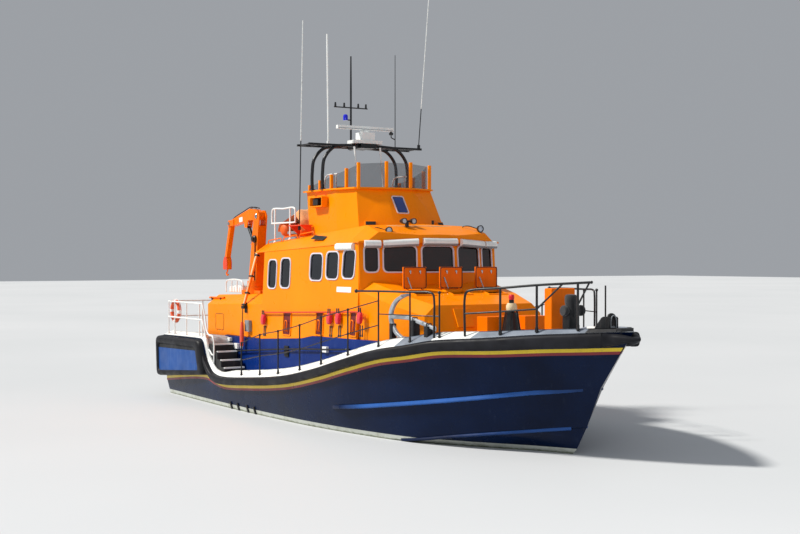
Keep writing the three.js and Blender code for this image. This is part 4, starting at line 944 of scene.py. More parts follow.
def exhausts():
    """Dark raked exhaust lips across the pale band at the waterline."""
    lips = Shape()
    for x in EXHAUST_XS:
        rail, chine = at(RAIL_LINE, x * 1000), at(CHINE, x * 1000)
        low = chine.lerp(rail, (-0.03 - chine.z) / (rail.z - chine.z)).y
        high = chine.lerp(rail, (0.2 - chine.z) / (rail.z - chine.z)).y
        place = facing((x, (low + high) / 2, 0.085), (-1, 0, 0), (0, (high - low) / 0.23, 1))
        lips.prism(rounded([(-0.045, -0.11), (0.03, -0.11), (0.055, 0.11), (-0.02, 0.11)], 0.02, 3),
                   -0.03, 0.03, 0, place)
    lips.both_sides().piece("exhaust_lips", SEAL, slot="fender", bevel=0.008)


def board_up(x, inwards):
    """Height of the sloped edge board over the sheer, x in millimetres."""
    wide, high = along(TOE_BOARD, x, 1) / 1000, along(TOE_BOARD, x, 2) / 1000
    share = clamp((inwards - 0.014) / (wide - TOE_FLAT - 0.014))
    return TOE_LIP + (high - TOE_LIP) * share


def toe_board():
    """The sloped white board on the deck's edge, with a cap over the stem."""
    def section(x):
        wide, high = along(TOE_BOARD, x, 1) / 1000, along(TOE_BOARD, x, 2) / 1000
        return [(-0.014, -0.022), (-0.014, TOE_LIP - 0.008), (-0.02, TOE_LIP),
                (TOE_FLAT - wide - 0.008, high - 0.004),
                (TOE_FLAT - wide + 0.008, high), (0.01 - wide, high), (-wide, high - 0.012),
                (-wide, -0.022)]
    board = Shape()
    sweep_sheer(board, steps_between(STERN + 10, 8250, 190), section)
    board.both_sides()
    board.prism(rounded([(8.18, -0.21), (8.33, -0.16), (8.33, 0.16), (8.18, 0.21)], 0.05), 2.483, 2.575)
    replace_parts(board.piece("edge_board", TOE_PAINT, slot="deck_edge", smooth=28), "toe_rail")


hull()
deck()
belt()
quarter()
bow_fender()
stripes()
# The spray rail and the chine rail take the lighter-blue painted highlight.
ledge(3, "spray_rail", 0.62, 0.985, 0.05, 0.075, RAIL_HIGHLIGHT)
ledge(2, "chine_rail", 0.76, 0.985, 0.03, 0.04, CHINE_HIGHLIGHT)
exhausts()
toe_board()


# Trunk, casing and steps
# columns: aft edge, height
STEPS = [(-5.28, 1.61), (-5.03, 1.43), (-4.78, 1.22), (-4.53, 1.03)]


def waist():
    nosings = Shape()
    for k, (x, z) in enumerate(STEPS):
        ahead = STEPS[k + 1][0] + 0.04 if k + 1 < len(STEPS) else x + 0.25
        place = facing((ahead - 0.012, 0, z), *AHEAD)
        nosings.prism(plate(2.06, -0.03, 2.64, 0.012, 0.01, 2), -0.03, 0.018, 0, place)
    nosings.both_sides().piece("step_nosings", WHITE, slot="deck_edge", bevel=0.004)


def wall_y(z):
    return HOUSE_HALF - max(0.0, z - LEAN_FROM) * TUMBLEHOME


def on_wall(x, z, out=0.0):
    """A frame on the port wall: local x aft, y up the wall, z outwards."""
    place = facing((x, wall_y(z), z), (-1, 0, 0), (0, -TUMBLEHOME, 1))
    return place @ shift((0, 0, out))


def casing_details():
    """The casing's hatch outline, boxes, grab tube, white stowage with its hoop, and aft doors."""
    lines, boxes, tube, white = Shape(), Shape(), Shape(), Shape()
    wide, tall = 0.55, 0.45
    place = facing((-5.99, 1.9, 1.92), *TO_PORT)
    lines.rim(oblong(0, 0, wide, tall), 0.05, -0.012, 0.04, 4, -0.003, 0.005, 0, place)
    for k in (0.2, 0.8):
        lines.box((wide * k - 0.03, -0.012, -0.003), (wide * k + 0.03, 0.012, 0.012), 1, place)
    boxes.box((-4.43, 1.885, 1.96), (-4.18, 1.99, 2.26))
    boxes.box((-4.4, 1.99, 2.0), (-4.21, 2.0, 2.22))
    tube.tube([(-7.35, 1.72, 2.78), (-6.35, 1.72, 2.8)], 0.03, 0)
    for x in (-7.15, -6.55):
        tube.box((x - 0.02, 1.66, 2.72), (x + 0.02, 1.76, 2.8), 1)
    white.prism(plate(-6.95, 0.62, -6.1, 1.32, 0.08, 5), 2.95, 3.1)
    white.prism(plate(-6.9, 0.67, -6.15, 1.27, 0.08, 5), 3.1, 3.14)
    hoop = [(-6.98, 1.38, 2.95), (-6.98, 1.38, 3.2), (-6.9, 1.38, 3.27), (-5.95, 1.38, 3.27),
            (-5.87, 1.38, 3.2),
            (-5.87, 1.38, 2.95)]
    white.pipe(hoop, 7, 0.02)
    for x in (-6.6, -6.25):
        white.upright(x, 1.38, 2.95, 3.27, 0.016)
    lines.both_sides().piece("casing_hatch_lines", [SEAL, GEAR_ORANGE], slot="gear_black", bevel=0.002)
    boxes.both_sides().piece("casing_boxes", GREY, slot="gear_grey", bevel=0.014, segments=3)
    tube.both_sides().piece("casing_tubes", [GEAR_ORANGE, SEAL], slot="gear_orange", smooth=60)
    white.mirrored().piece("casing_stowage", WHITE, slot="gear_white", bevel=0.012, segments=3, smooth=50)
    aft = Shape()
    back = facing((-7.1, 0.45, 1.95), *ASTERN)
    for k in (0.0, 0.47):
        aft.rim(oblong(k, 0, k + 0.43, 0.78), 0.06, -0.025, 0.045, 5, -0.004, 0.014, 0, back)
        handle = k + 0.1 + 0.22 * (k == 0)
        aft.tube([back @ Vector((handle, 0.3, h)) for h in (0.0, 0.04)], 0.014, 1)
        aft.tube([back @ Vector((handle, v, 0.04)) for v in (0.24, 0.42)], 0.012, 1)
    for y in (-1.3, 1.02):
        for k in range(5):
            aft.box((-7.115, y, 2.1 + k * 0.07), (-7.09, y + 0.28, 2.135 + k * 0.07), 2)
    aft.piece("casing_aft_doors", [ORANGE, STEEL, SEAL], slot="house_orange", bevel=0.004, smooth=50)


def strop():
    """A red-orange strop bag that hangs against the casing."""
    bag = Shape()
    rows = []
    for share in shares(12):
        z = 1.57 + 0.64 * share
        wide = 0.08 * (0.55 + 0.45 * math.sin(math.pi * min(1.0, 0.25 + share * 0.7)))
        deep = 0.05 * (0.5 + 0.5 * math.sin(math.pi * (0.1 + 0.8 * share)))
        ring = []
        for a in around(20):
            ring.append((-4.44 + 0.02 * share + wide * math.cos(a), -2.07 + deep * math.sin(a), z))
        rows.append(ring)
    bag.capped(rows)
    made = bag.piece("strop_bag", STROP, slot="ring_red", smooth=70)
    tie = Shape()
    tie.tube([(-4.42, -2.06, 2.18), (-4.46, -2.04, 2.35), (-4.52, -2.0, 2.56)], 0.012)
    tie.lathe([(0.0, 0), (0.03, 0), (0.035, 0.06), (0.0, 0.075)], shift((-4.44, -2.07, 1.51)), 1, 16)
    tie.piece("strop_tie", [SEAL, WHITE], slot="gear_black", smooth=60)


waist()
casing_details()
strop()


# Windows
def window_corners(row):
    aft, fore, sill, head = row
    rake = 0.05 if aft > 0 else 0.0
    return [(aft, sill), (fore - rake, sill), (fore, head), (aft + rake * 0.6, head)]


FRAME_WIDTH = 0.03


def framed_window(frames, panes, corners, radius, place, pane_z=-0.026, width=FRAME_WIDTH):
    outer = rounded(grown(corners, width), radius + width * 0.7, 8)
    inner = rounded(grown(corners, -0.004), radius, 8)
    frames.hoop(outer, inner, -0.03, 0.02, 0, place)
    gasket_inner = rounded(grown(corners, -0.022), radius * 0.85, 8)
    frames.hoop(inner, gasket_inner, -0.03, -0.004, 1, place)
    panes.prism(gasket_inner, pane_z, pane_z + 0.008, 0, place)


def side_windows():
    frames, panes = Shape(), Shape()
    for row in SIDE_WINDOWS:
        corners = window_corners(row)
        x, z = corners[0]
        place = on_wall(x, z)
        local = [(x - a, (b - z) * math.hypot(1, TUMBLEHOME)) for a, b in corners]
        framed_window(frames, panes, local, WINDOW_RADIUS, place)
    frames.both_sides().piece("side_window_frames", [FRAME_WHITE, SEAL], slot="gear_white", bevel=0.005)
    panes.both_sides().piece("side_window_panes", PANE, slot="window")


def front_facet(k, along_it, z, out=0.0):
    """A frame on a facet of the wheelhouse front: local x along it to port, y up, z forward."""
    a, b = FRONT_PLAN[k:k + 2]
    run = (b - a).normalized()
    start = a + run * along_it
    x = start.x - FRONT_LEAN * max(0, z - FRONT_FOOT)
    place = facing((x, start.y, z), (run.x, run.y, 0), (-FRONT_LEAN, 0, 1))
    return place @ shift((0, 0, out))


def facet_run(k):
    return (FRONT_PLAN[k + 1] - FRONT_PLAN[k]).length


def front_windows():
    frames, panes, visors = Shape(), Shape(), Shape()
    tall = FRONT_HEAD - FRONT_SILL
    for k, start, end in FRONT_WINDOWS + [[4 - k, None, None] for k in (1, 0)]:
        if start is None:
            mirror_start, mirror_end = FRONT_WINDOWS[4 - k][1:]
            run = facet_run(k)
            start, end = run - mirror_end, run - mirror_start
        place = front_facet(k, start, FRONT_SILL)
        framed_window(frames, panes, oblong(0, 0, end - start, tall), 0.12, place)
        visor(visors, k, start - 0.03, end + 0.03)
    frames.piece("front_window_frames", [FRAME_WHITE, SEAL], slot="gear_white", bevel=0.005)
    panes.piece("front_window_panes", FRONT_PANE, slot="window")
    side_visor(visors)
    visors.piece("window_visors", [WHITE, GREY], slot="gear_white", smooth=50)


VISOR_SECTION = [(0.0, 0.165), (0.05, 0.165), (0.085, 0.14), (0.1, 0.1), (0.1, 0.05), (0.085, 0.015),
                 (0.05, 0.0),
                 (0.0, 0.0)]


def visor(visors, k, start, end):
    """A white blind box over a front window, with its slot under a lip."""
    rise = {0: 4.13, 1: 4.155, 2: 4.185, 3: 4.155, 4: 4.13}
    lift = {0: 0.0, 1: 0.04, 2: 0.0, 3: -0.04, 4: 0.0}[k]
    rows = []
    for share, along_it in ((0.0, start), (1.0, end)):
        place = front_facet(k, along_it, 4.17, 0.1)
        z = rise[k] - 4.17 + lift * (share - 0.5)
        rows.append([place @ Vector((0, z + up, out)) for out, up in VISOR_SECTION])
    visors.capped(rows)
    visors.capped([[p + upward(-0.012) for p in row[4:8]] for row in rows], 1)


def side_visor(visors):
    for side in (1, -1):
        rows = []
        for x in (0.42, 1.2):
            place = on_wall(x, 4.08, 0.0)
            row = [place @ Vector((0, up, out * 0.9)) for out, up in VISOR_SECTION]
            rows.append([Vector((p.x, p.y * side, p.z)) for p in row])
        visors.capped(rows)


side_windows()
front_windows()


# Fittings on the deckhouse sides, drawn on the port wall and mirrored
HANDRAIL_OUT = 0.065


def handrails():
    rails = Shape()
    start, end = Vector((-3.33, 0, 2.5)), Vector((1.62, 0, 2.69))

    def out(p, away):
        return Vector((p.x, wall_y(p.z) + away, p.z))

    rails.tube([out(start, -0.01), out(start, 0.05), out(start.lerp(end, 0.008), HANDRAIL_OUT)]
               + [out(start.lerp(end, t), HANDRAIL_OUT) for t in steps_between(0.02, 0.98, 12)]
               + [out(start.lerp(end, 0.992), HANDRAIL_OUT), out(end, 0.05), out(end, -0.01)], 0.019)
    for share in steps_between(0.12, 0.88, 6):
        p = start.lerp(end, share)
        rails.tube([out(p, -0.01), out(p, HANDRAIL_OUT)], 0.013)
    # The rails take the darker red-orange paint as painted shade, so they read as a dark line on the orange
    # wall.
    rails.both_sides().piece("house_handrails", RED_ORANGE, slot="gear_orange", smooth=60)


# columns: aft and front edge, sill and head
RECESSES = [(-2.2, -1.81, 2.0, 2.56), (-0.46, -0.13, 2.08, 2.6), (1.19, 1.45, 2.14, 2.66)]
# columns: half width, inner and outer face off the wall, foot and head over the pouch's place
STRAP_PARTS = [(0.014, 0.004, 0.02, -0.16, 0.06), (0.02, 0.004, 0.03, -0.2, -0.15),
               (0.014, 0.05, 0.075, 0.34, 0.46)]
# columns: x, height
POUCHES = [(-3.25, 2.1), (0.28, 2.26), (0.7, 2.28), (1.7, 2.33)]


def side_fittings():
    frames, handles, plates = Shape(), Shape(), Shape()
    for x0, x1, z0, z1 in RECESSES:
        place = on_wall(x1, z0)
        wide, tall = x1 - x0, z1 - z0
        corners = oblong(0, 0, wide, tall)
        outer, inner = rounded(grown(corners, 0.03), 0.05, 4), rounded(corners, 0.03, 4)
        frames.hoop(outer, inner, -0.005, 0.022, 0, place)
        # The dark red plate in each frame, almost flush with the wall, is the recess's painted shade.
        frames.prism(inner, -0.004, 0.003, 1, place)
        middle = wide * 0.45
        handles.tube([place @ Vector(p) for p in smooth_path(
            [(middle - 0.05, 0.08, 0.0), (middle - 0.05, 0.1, 0.05), (middle - 0.05, 0.32, 0.05),
             (middle + 0.05, 0.34, 0.05), (middle + 0.05, 0.1, 0.05), (middle + 0.05, 0.08, 0.0)], 5)],
             0.014)
    plates.prism(plate(0, 0, 0.68, 0.125, 0.02, 3), -0.002, 0.008, 0, on_wall(1.14, 3.11))
    frames.both_sides().piece("side_recesses", [ORANGE, RECESS_SHADE_RED], slot="house_orange", bevel=0.005)
    handles.both_sides().piece("recess_handles", GEAR_ORANGE, slot="gear_orange", smooth=60)
    plates.both_sides().piece("blank_plates", WHITE, slot="gear_white", bevel=0.002)
    pouches()


def pouches():
    """Red soft pouches that hang on the handrail, with black straps."""
    for side, name in SIDES:
        for k, (x, z) in enumerate(POUCHES):
            bag = Shape()
            rows = []
            for share in shares(10):
                wide = 0.088 * (0.9 + 0.1 * math.sin(math.pi * share)) * (0.8 if share in (0.0, 1.0) else 1)
                deep = 0.05 * (0.55 + 0.45 * math.sin(math.pi * share)) * (0.4 if share in (0.0,
                                                                                            1.0) else 1)
                height = z + 0.09 + 0.27 * share
                middle = wall_y(height) + 0.068
                turns = around(20)
                rows.append([(x + wide * signed_power(math.cos(a), 0.4),
                              side * (middle + deep * signed_power(math.sin(a), 0.8)), height)
                             for a in turns])
            bag.capped(rows)
            made = bag.piece("pouch_%s_%d" % (name, k), POUCH, slot="ring_red", smooth=70)
    straps = Shape()
    for x, z in POUCHES:
        for dx in (-0.045, 0.045):
            y = wall_y(z)
            for half, y0, y1, z0, z1 in STRAP_PARTS:
                straps.box((x + dx - half, y + y0, z + z0), (x + dx + half, y + y1, z + z1))
    straps.both_sides().piece("pouch_straps", CANVAS, slot="gear_black", bevel=0.003)


def trunk_fittings():
    """On the blue trunk: a black grab rail, white boxes and a dark notch."""
    rail, boxes, notch = Shape(), Shape(), Shape()
    y, out = HOUSE_HALF, HOUSE_HALF + 0.07
    path = [(-5.05, y - 0.01, 1.4), (-5.05, out, 1.4), (-4.4, out, 1.45), (-3.4, out, 1.53),
            (-1.3, out, 1.68), (0.6, out, 1.78), (1.2, out, 1.82), (1.2, y - 0.01, 1.82)]
    rail.pipe(path, 6, 0.02)
    for share in (1.5, 2.5, 3.5, 4.5):
        a, b = Vector(path[int(share)]), Vector(path[int(share) + 1])
        p = a.lerp(b, share % 1)
        rail.tube([p, (p.x, y - 0.01, p.z)], 0.012)
    for x, z, wide, tall in ((-4.9, 1.545, 0.22, 0.15), (0.1, 1.75, 0.2, 0.14), (-5.35, 1.7, 0.16, 0.1)):
        boxes.box((x - wide / 2, y - 0.01, z - tall / 2), (x + wide / 2, y + 0.075, z + tall / 2))
    notch.box((-2.08, y - 0.01, 1.45), (-1.86, y + 0.03, 1.72))
    notch.box((-2.04, y + 0.03, 1.5), (-1.9, y + 0.045, 1.66))
    rail.both_sides().piece("trunk_grab_rails", BLACK, slot="gear_black", smooth=60)
    boxes.both_sides().piece("trunk_boxes", WHITE, slot="gear_white", bevel=0.012, segments=3)
    notch.both_sides().piece("trunk_vents", SEAL, slot="gear_black", bevel=0.006)


handrails()
side_fittings()
trunk_fittings()


# Roof
def roof_edge(x):
    return 4.66 + (min(x, 0.83) - 0.83) * 0.075


def knuckle(x):
    return 4.25 + (x - 1.45) * 0.038


def on_roof_side(x, share, out=0.0):
    """A frame on the port roof slope: local x aft, y up the slope."""
    low, high = Vector((x, 1.86, knuckle(x))), Vector((x, 1.48, roof_edge(x)))
    place = facing(low.lerp(high, share), (-1, 0, 0.06), high - low)
    return place @ shift((0, 0, out))


def lamp(shape, place, radius=0.075, deep=0.09):
    """A round floodlight in a bracket, facing along the place's z."""
    rim = [(0.0, -deep), (radius * 0.55, -deep), (radius * 0.9, -deep * 0.5), (radius, 0.0), (radius, 0.02),
           (radius * 0.86, 0.022), (radius * 0.86, 0.008)]
    shape.lathe(rim, place, 0, 22)
    shape.lathe([(0.0, 0.014), (radius * 0.6, 0.012), (radius * 0.86, 0.006), (radius * 0.86, 0.0),
                 (0.0, 0.0)],
                place, 1, 22)


def roof_fittings():
    slots, lamps, brackets = Shape(), Shape(), Shape()
    slot = on_roof_side(-0.6, 0.42)
    slots.prism(rounded([(0, 0), (0.62, 0.0), (0.56, 0.13), (-0.06, 0.13)], 0.02, 3), -0.004, 0.01, 0, slot)
    for k in range(3):
        slots.box((0.02, 0.025 + 0.035 * k, 0.008), (0.55, 0.035 + 0.035 * k, 0.022), 1, slot)
    slots.both_sides().piece("roof_vents", [SEAL, BLACK], slot="gear_black", bevel=0.003)
    for y, z in ((-1.19, 4.53), (1.36, 4.6)):
        lamp(lamps, facing((1.64, y, z), *AHEAD), 0.085, 0.1)
        curl = [(1.2, y - 0.24, z - 0.06), (1.24, y - 0.24, z + 0.05), (1.36, y - 0.16, z + 0.07),
                (1.5, y - 0.05, z + 0.02), (1.56, y, z)]
        brackets.pipe(curl, 6, 0.011)
        brackets.upright(1.58, y, z - 0.22, z, 0.016)
    for y in (-0.64, -0.38):
        lamp(lamps, facing((1.42, y, 4.76), *AHEAD), 0.07, 0.16)
    brackets.tube([(1.32, -0.66, 4.76), (1.32, -0.36, 4.76)], 0.022)
    brackets.box((1.28, -0.54, 4.4), (1.36, -0.48, 4.76))
    brackets.upright(1.0, 0.42, 4.5, 4.72, 0.012)
    brackets.upright(1.0, 0.42, 4.7, 4.8, 0.03)
    front = [(1.12, -1.2, 4.53), (1.16, -1.18, 4.61), (1.28, -0.55, 4.64), (1.3, 0.2, 4.65),
             (1.2, 1.0, 4.63),
             (1.14, 1.2, 4.61), (1.1, 1.22, 4.53)]
    grab = Shape()
    grab.pipe(front, 7, 0.014)
    for x, y in ((1.26, -0.6), (1.3, 0.2), (1.2, 0.95)):
        grab.upright(x, y, 4.5, 4.64, 0.01)
    grab.piece("roof_front_rail", CREAM, slot="gear_white", smooth=60)
    lamps.piece("roof_lamps", [BLACK, LENS], slot="gear_black", smooth=50)
    brackets.piece("lamp_brackets", BLACK, slot="gear_black", bevel=0.003)
    edge = Shape()
    for k, x0 in enumerate((-3.9, -3.0, -2.1)):
        edge.tube([(x0, 1.55, roof_edge(x0) - 0.02), (x0 + 0.05, 1.56, roof_edge(x0) + 0.06),
                   (x0 + 0.75, 1.56, roof_edge(x0 + 0.75) + 0.06),
                   (x0 + 0.8, 1.55, roof_edge(x0 + 0.8) - 0.02)], 0.014)
    edge.both_sides().piece("roof_grab_rails", GEAR_ORANGE, slot="gear_orange", smooth=60)


roof_fittings()


# Flying bridge
def tub_face(k, share, z, out=0.0):
    """A frame on the tub's starboard facet k: local x ahead, y up, z outwards."""
    t = (z - TUB_FOOT) / (TUB_RIM - TUB_FOOT)

    def corner(i):
        x0, y0, x1, y1 = TUB[i]
        return Vector((x0 + (x1 - x0) * t, -(y0 + (y1 - y0) * t), z))

    def rise(i):
        x0, y0, x1, y1 = TUB[i]
        return Vector((x1 - x0, -(y1 - y0), TUB_RIM - TUB_FOOT))

    a, b = corner(k), corner(k + 1)
    up = rise(k).lerp(rise(k + 1), share)
    place = facing(a.lerp(b, share), b - a, up)
    return place @ shift((0, 0, out))


def bridge():
    box, glass, trim = Shape(), Shape(), Shape()
    place = tub_face(0, 0.27, 5.3)
    box.hoop(plate(0, -0.13, 0.72, 0.13, 0.03, 3),
             plate(0.03, -0.1, 0.69, 0.1, 0.02, 3), -0.01, 0.16, 0, place)
    box.prism(oblong(0.03, -0.1, 0.69, 0.1), -0.01, 0.02, 1, place)
    glass.prism(plate(0.12, -0.08, 0.4, 0.08, 0.03, 3), 0.02, 0.12, 0, place)
    box.both_sides().piece("side_light_boxes", [ORANGE, SEAL], slot="house_orange", bevel=0.006)
    glass.both_sides().piece("side_lights", SEAL, slot="gear_black", bevel=0.01)
    frames, panes = Shape(), Shape()
    sill = 4.98
    foot_x, rim_x = TUB[3][0], TUB[3][2]
    x = foot_x + (rim_x - foot_x) * (sill - TUB_FOOT) / (TUB_RIM - TUB_FOOT)
    window = facing((x + 0.004, -0.24, sill), (0, 1, 0), (-0.36, 0.0, 0.64))
    framed_window(frames, panes, [(0.0, 0.0), (0.3, 0.0), (0.26, 0.46), (-0.04, 0.46)], 0.04, window, 0.003,
                  0.018)
    frames.piece("bridge_window_frame", [FRAME_WHITE, SEAL], slot="gear_white", bevel=0.004)
    panes.piece("bridge_window_pane", BLUE_PANE, slot="window")
    vent = tub_face(2, 0.15, 4.62)
    trim.box((0.0, 0.0, -0.02), (0.3, 0.14, 0.1), 0, vent)
    trim.box((0.03, 0.025, 0.1), (0.27, 0.115, 0.112), 1, vent)
    trim.both_sides().piece("bridge_vents", [ORANGE, SEAL], slot="house_orange", bevel=0.008)
    shelf = Shape()
    for x in (-2.72, -2.1):
        shelf.prism([(0, 0), (0.3, 0), (0.3, 0.02), (0.02, 0.26), (0, 0.26)], -0.012, 0.012, 0,
                    facing((x, -1.22, 4.74), (0, -1, 0), (0, 0, -1)))
    shelf.box((-2.75, -1.55, 4.72), (-2.05, -1.2, 4.745))
    shelf.piece("aerial_shelf", RED_ORANGE, slot="gear_orange", bevel=0.005)
    hoops = Shape()
    hoops.pipe([(-1.78, -1.0, 5.45), (-1.78, -1.0, 5.84), (-1.68, -1.0, 5.97), (-1.5, -1.0, 5.99),
                            (-1.12, -1.0, 5.99)], 6, 0.019)
    hoops.upright(-1.2, -1.0, 5.99, 5.45, 0.019)
    hoops.both_sides().piece("bridge_hoop_rails", WHITE, slot="gear_white", smooth=60)


def bridge_inside():
    """Helm console with three panels, and two seats on posts, in the tub."""
    gear, seats = Shape(), Shape()
    gear.prism([(0, 0), (0.42, 0), (0.42, 0.62), (0.3, 0.72), (0.0, 0.52)], -0.9, 0.9, 0,
               facing((-0.62, 0, 4.83), *TO_STARBOARD))
    for y in (-0.55, 0.0, 0.55):
        panel = facing((-0.6, y - 0.2, 5.36), (0, 1, 0), (0.3, 0, 0.2))
        gear.prism(plate(0, 0, 0.4, 0.26, 0.03, 3), -0.01, 0.012, 1, panel)
    for y in (-0.5, 0.5):
        seats.prism(plate(-0.22, -0.22, 0.22, 0.22, 0.08), 5.2, 5.3, 0,
                    shift((-1.5, y, 0)))
        seats.prism(rounded([(-0.22, 0), (0.22, 0), (0.2, 0.42), (-0.2, 0.42)], 0.08), -0.04, 0.04, 0,
                    facing((-1.74, y, 5.3), (0, -1, 0), (-0.15, 0, 1)))
        gear.upright(-1.5, y, 4.83, 5.2, 0.06)
    gear.piece("helm_console", [ORANGE, SEAL], slot="house_orange", bevel=0.01)
    seats.piece("helm_seats", CANVAS, slot="gear_black", bevel=0.03, segments=3)


bridge()
bridge_inside()


# Mast arch, radar and aerials
HOOP_TOP = 6.735
HOOP_Y = 1.245


def mast():
    arch = Shape()
    for x in (-1.45, -2.0):
        half = [(x, -HOOP_Y, TUB_RIM), (x, -HOOP_Y, 6.05), (x, -HOOP_Y + 0.06, 6.4),
                (x, -HOOP_Y + 0.33, 6.68),
                (x, -HOOP_Y + 0.7, HOOP_TOP)]
        arch.pipe(both_ways(half), 9, 0.042, sides=16)
        for side, _ in SIDES:
            arch.lathe([(0.0, 0), (0.085, 0), (0.085, 0.016), (0.05, 0.03), (0.0, 0.03)],
                       shift((x, side * HOOP_Y, TUB_RIM)))
    for x in (-2.06, -1.46):
        arch.box((x, -1.65, HOOP_TOP - 0.035), (x + 0.07, 1.65, HOOP_TOP + 0.02))
    for k in range(12):
        y = -1.58 + k * 0.287
        arch.box((-2.0, y - 0.02, HOOP_TOP - 0.02), (-1.45, y + 0.02, HOOP_TOP + 0.01))
    arch.box((-1.99, -0.22, HOOP_TOP - 0.06), (-1.3, 0.22, HOOP_TOP + 0.06))
    x, y = -2.36, 0.08
    arch.box((x - 0.03, y - 0.03, HOOP_TOP - 0.035), (-2.03, y + 0.03, HOOP_TOP + 0.01))
    arch.tube([(x, y, HOOP_TOP - 0.02), (x, y, 8.2), (x, y, 9.15)], [0.026, 0.026, 0.018], sides=14)
    arch.tube([(x, y - 0.5, 7.81), (x, y + 0.5, 7.81)], 0.016)
    for dy in (-0.46, -0.2, 0.22, 0.45):
        arch.upright(x, y + dy, 7.8, 7.93, [0.03, 0.022])
    arch.tube([(x, y, 7.49), (x, y - 0.16, 7.49)], 0.016)
    arch.upright(-1.5, 0.9, HOOP_TOP, 9.13, [0.012, 0.008])
    arch.tube([(-1.5, 0.9, 6.95), (-1.5, 0.78, 7.0), (-1.5, 0.78, 7.08)], 0.014)
    arch.lathe([(0.0, 0), (0.05, 0), (0.06, 0.05), (0.0, 0.1)], shift((-1.5, 0.78, 7.06)))
    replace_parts(arch.piece("mast_frame", BLACK, slot="gear_black", bevel=0.006, smooth=40), "mast_arch")
    blue = Shape()
    blue.lathe([(0.0, 0), (0.062, 0), (0.062, 0.12), (0.045, 0.15), (0.0, 0.16)],
               shift((x, y - 0.16, 7.475)))
    blue.piece("blue_light", BLUE_LAMP, slot="window", smooth=50)
    props = Shape()
    for y0 in (-0.42, 0.33):
        props.tube([(-1.3, y0, 6.7), (-1.25, y0, 6.4), (-1.1, y0, 5.5)], 0.024)
    props.piece("mast_props", WHITE, slot="gear_white", smooth=60)


def scanner_trim():
    trim = Shape()
    trim.box((-1.532, -0.8, 7.165), (-1.426, 0.8, 7.178))
    trim.piece("scanner_trim", GREY, body="radar", slot="gear_white", bevel=0.003)


mast()
scanner_trim()


# Crane
def crane():
    pins = Shape()
    for x, z, radius, half in ((-4.8, 5.04, 0.055, 0.15), (-5.175, 4.33, 0.035, 0.1)):
        pins.lathe([(0.0, -half), (radius, -half), (radius * 1.25, -half + 0.012), (radius, -half + 0.024),
                    (radius, half - 0.024), (radius * 1.25, half - 0.012), (radius, half), (0.0, half)],
                   facing((x, CRANE_Y, z), *TO_STARBOARD))
    pins.piece("post_pins", STEEL, body="crane", slot="steel", smooth=40)
    jib_pin = Shape()
    jib_pin.lathe(disc(0.05, -0.115, 0.115),
                  facing((-6.64, CRANE_Y, 4.88), *TO_STARBOARD))
    jib_pin.piece("jib_pin", STEEL, body="boom", slot="steel", smooth=40)
    block = Shape()
    for y in (-0.078, 0.062):
        block.prism(rounded([(-7.1, 3.58), (-6.84, 3.58), (-6.83, 3.8), (-6.9, 3.95), (-7.03, 3.95),
                             (-7.11, 3.8)],
                            0.05, 4), y, y + 0.016, 0,
                    shift((0, CRANE_Y, 0)) @ Matrix.Rotation(math.pi / 2, 4, "X"))
    block.piece("hook_block_cheeks", RED_ORANGE, body="jib", slot="gear_orange", bevel=0.006)
    label = Shape()
    run = facing((-5.98, CRANE_Y - 0.082, 4.9), (1, 0, 0.0777), (0, 0, 1))
    label.prism(plate(0, 0, 0.22, 0.13, 0.02, 3), -0.002, 0.004, 0, run)
    label.piece("crane_label", WHITE, body="boom", slot="gear_white")
    hub = Shape()
    hub.lathe([(0.0, 0), (0.1, 0), (0.1, 0.05), (0.07, 0.07), (0.07, 0.1), (0.03, 0.12), (0.0, 0.12)],
              facing((-4.86, CRANE_Y - 0.125, 4.42), *TO_STARBOARD), 0, 26)
    path = [(-4.86, -0.135, 4.4), (-4.84, -0.145, 4.1), (-4.85, -0.15, 3.6), (-4.86, -0.15, 3.3)]
    hub.pipe([(x, CRANE_Y + y, z) for x, y, z in path], 7, 0.016)
    hub.piece("crane_hub", BLACK, body="crane", slot="gear_black", smooth=45)
    hoses = Shape()
    for y in (-0.045, 0.045):
        path = [(-4.95, y, 5.26), (-5.3, y, 5.3), (-5.8, y, 5.19), (-6.3, y, 5.07), (-6.5, y, 4.99)]
        hoses.pipe([(x, CRANE_Y + y, z) for x, y, z in path], 6, 0.014)
    hoses.piece("crane_hoses", BLACK, body="boom", slot="gear_black", smooth=60)


POLE_HEAD = Vector((-4.63, -1.53, 4.04))
POLE_FOOT = Vector((-4.54, -1.99, 2.56))
POLE_APART = Vector((0.058, 0, 0))


def pole():
    """The crane's stowed pole, clipped to the casing: a cream tube and an orange one beside it; the orange
    tube stands for the pole's shaded side, as painted shade.
    """
    tubes = Shape()
    down = POLE_FOOT - POLE_HEAD
    # Mark 1, the orange tube, is painted shade along the shaded side of the cream pole.
    for mark, offset, radius in ((0, Vector(), 0.034), (1, POLE_APART, 0.028)):
        steps = [(0.0, 0.7), (0.012, 1.0), (0.5, 1.0), (0.51, 0.82), (0.98, 0.82), (1.0, 0.6)]
        tubes.tube([POLE_HEAD + offset + down * t for t, _ in steps], [radius * r for _, r in steps], mark,
                   18)
    for t in (0.04, 0.42, 0.72, 0.93):
        here = POLE_HEAD + down * t + POLE_APART * 0.5
        tubes.box((-0.075, -0.045, -0.02), (0.075, 0.045, 0.02), 2,
                  shift(here) @ down.to_track_quat("Z", "Y").to_matrix().to_4x4())
    tubes.box((-4.61, -2.01, 2.56), (-4.45, -1.9, 2.64), 2)
    tubes.box((-4.6, -1.915, 2.45), (-4.46, -1.9, 2.72), 2)
    pole_piece = tubes.piece("crane_pole", [CREAM, GEAR_ORANGE, SEAL], slot="gear_orange", bevel=0.004,
                             smooth=45)
    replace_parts(pole_piece, "crane_strut")


crane()
pole()


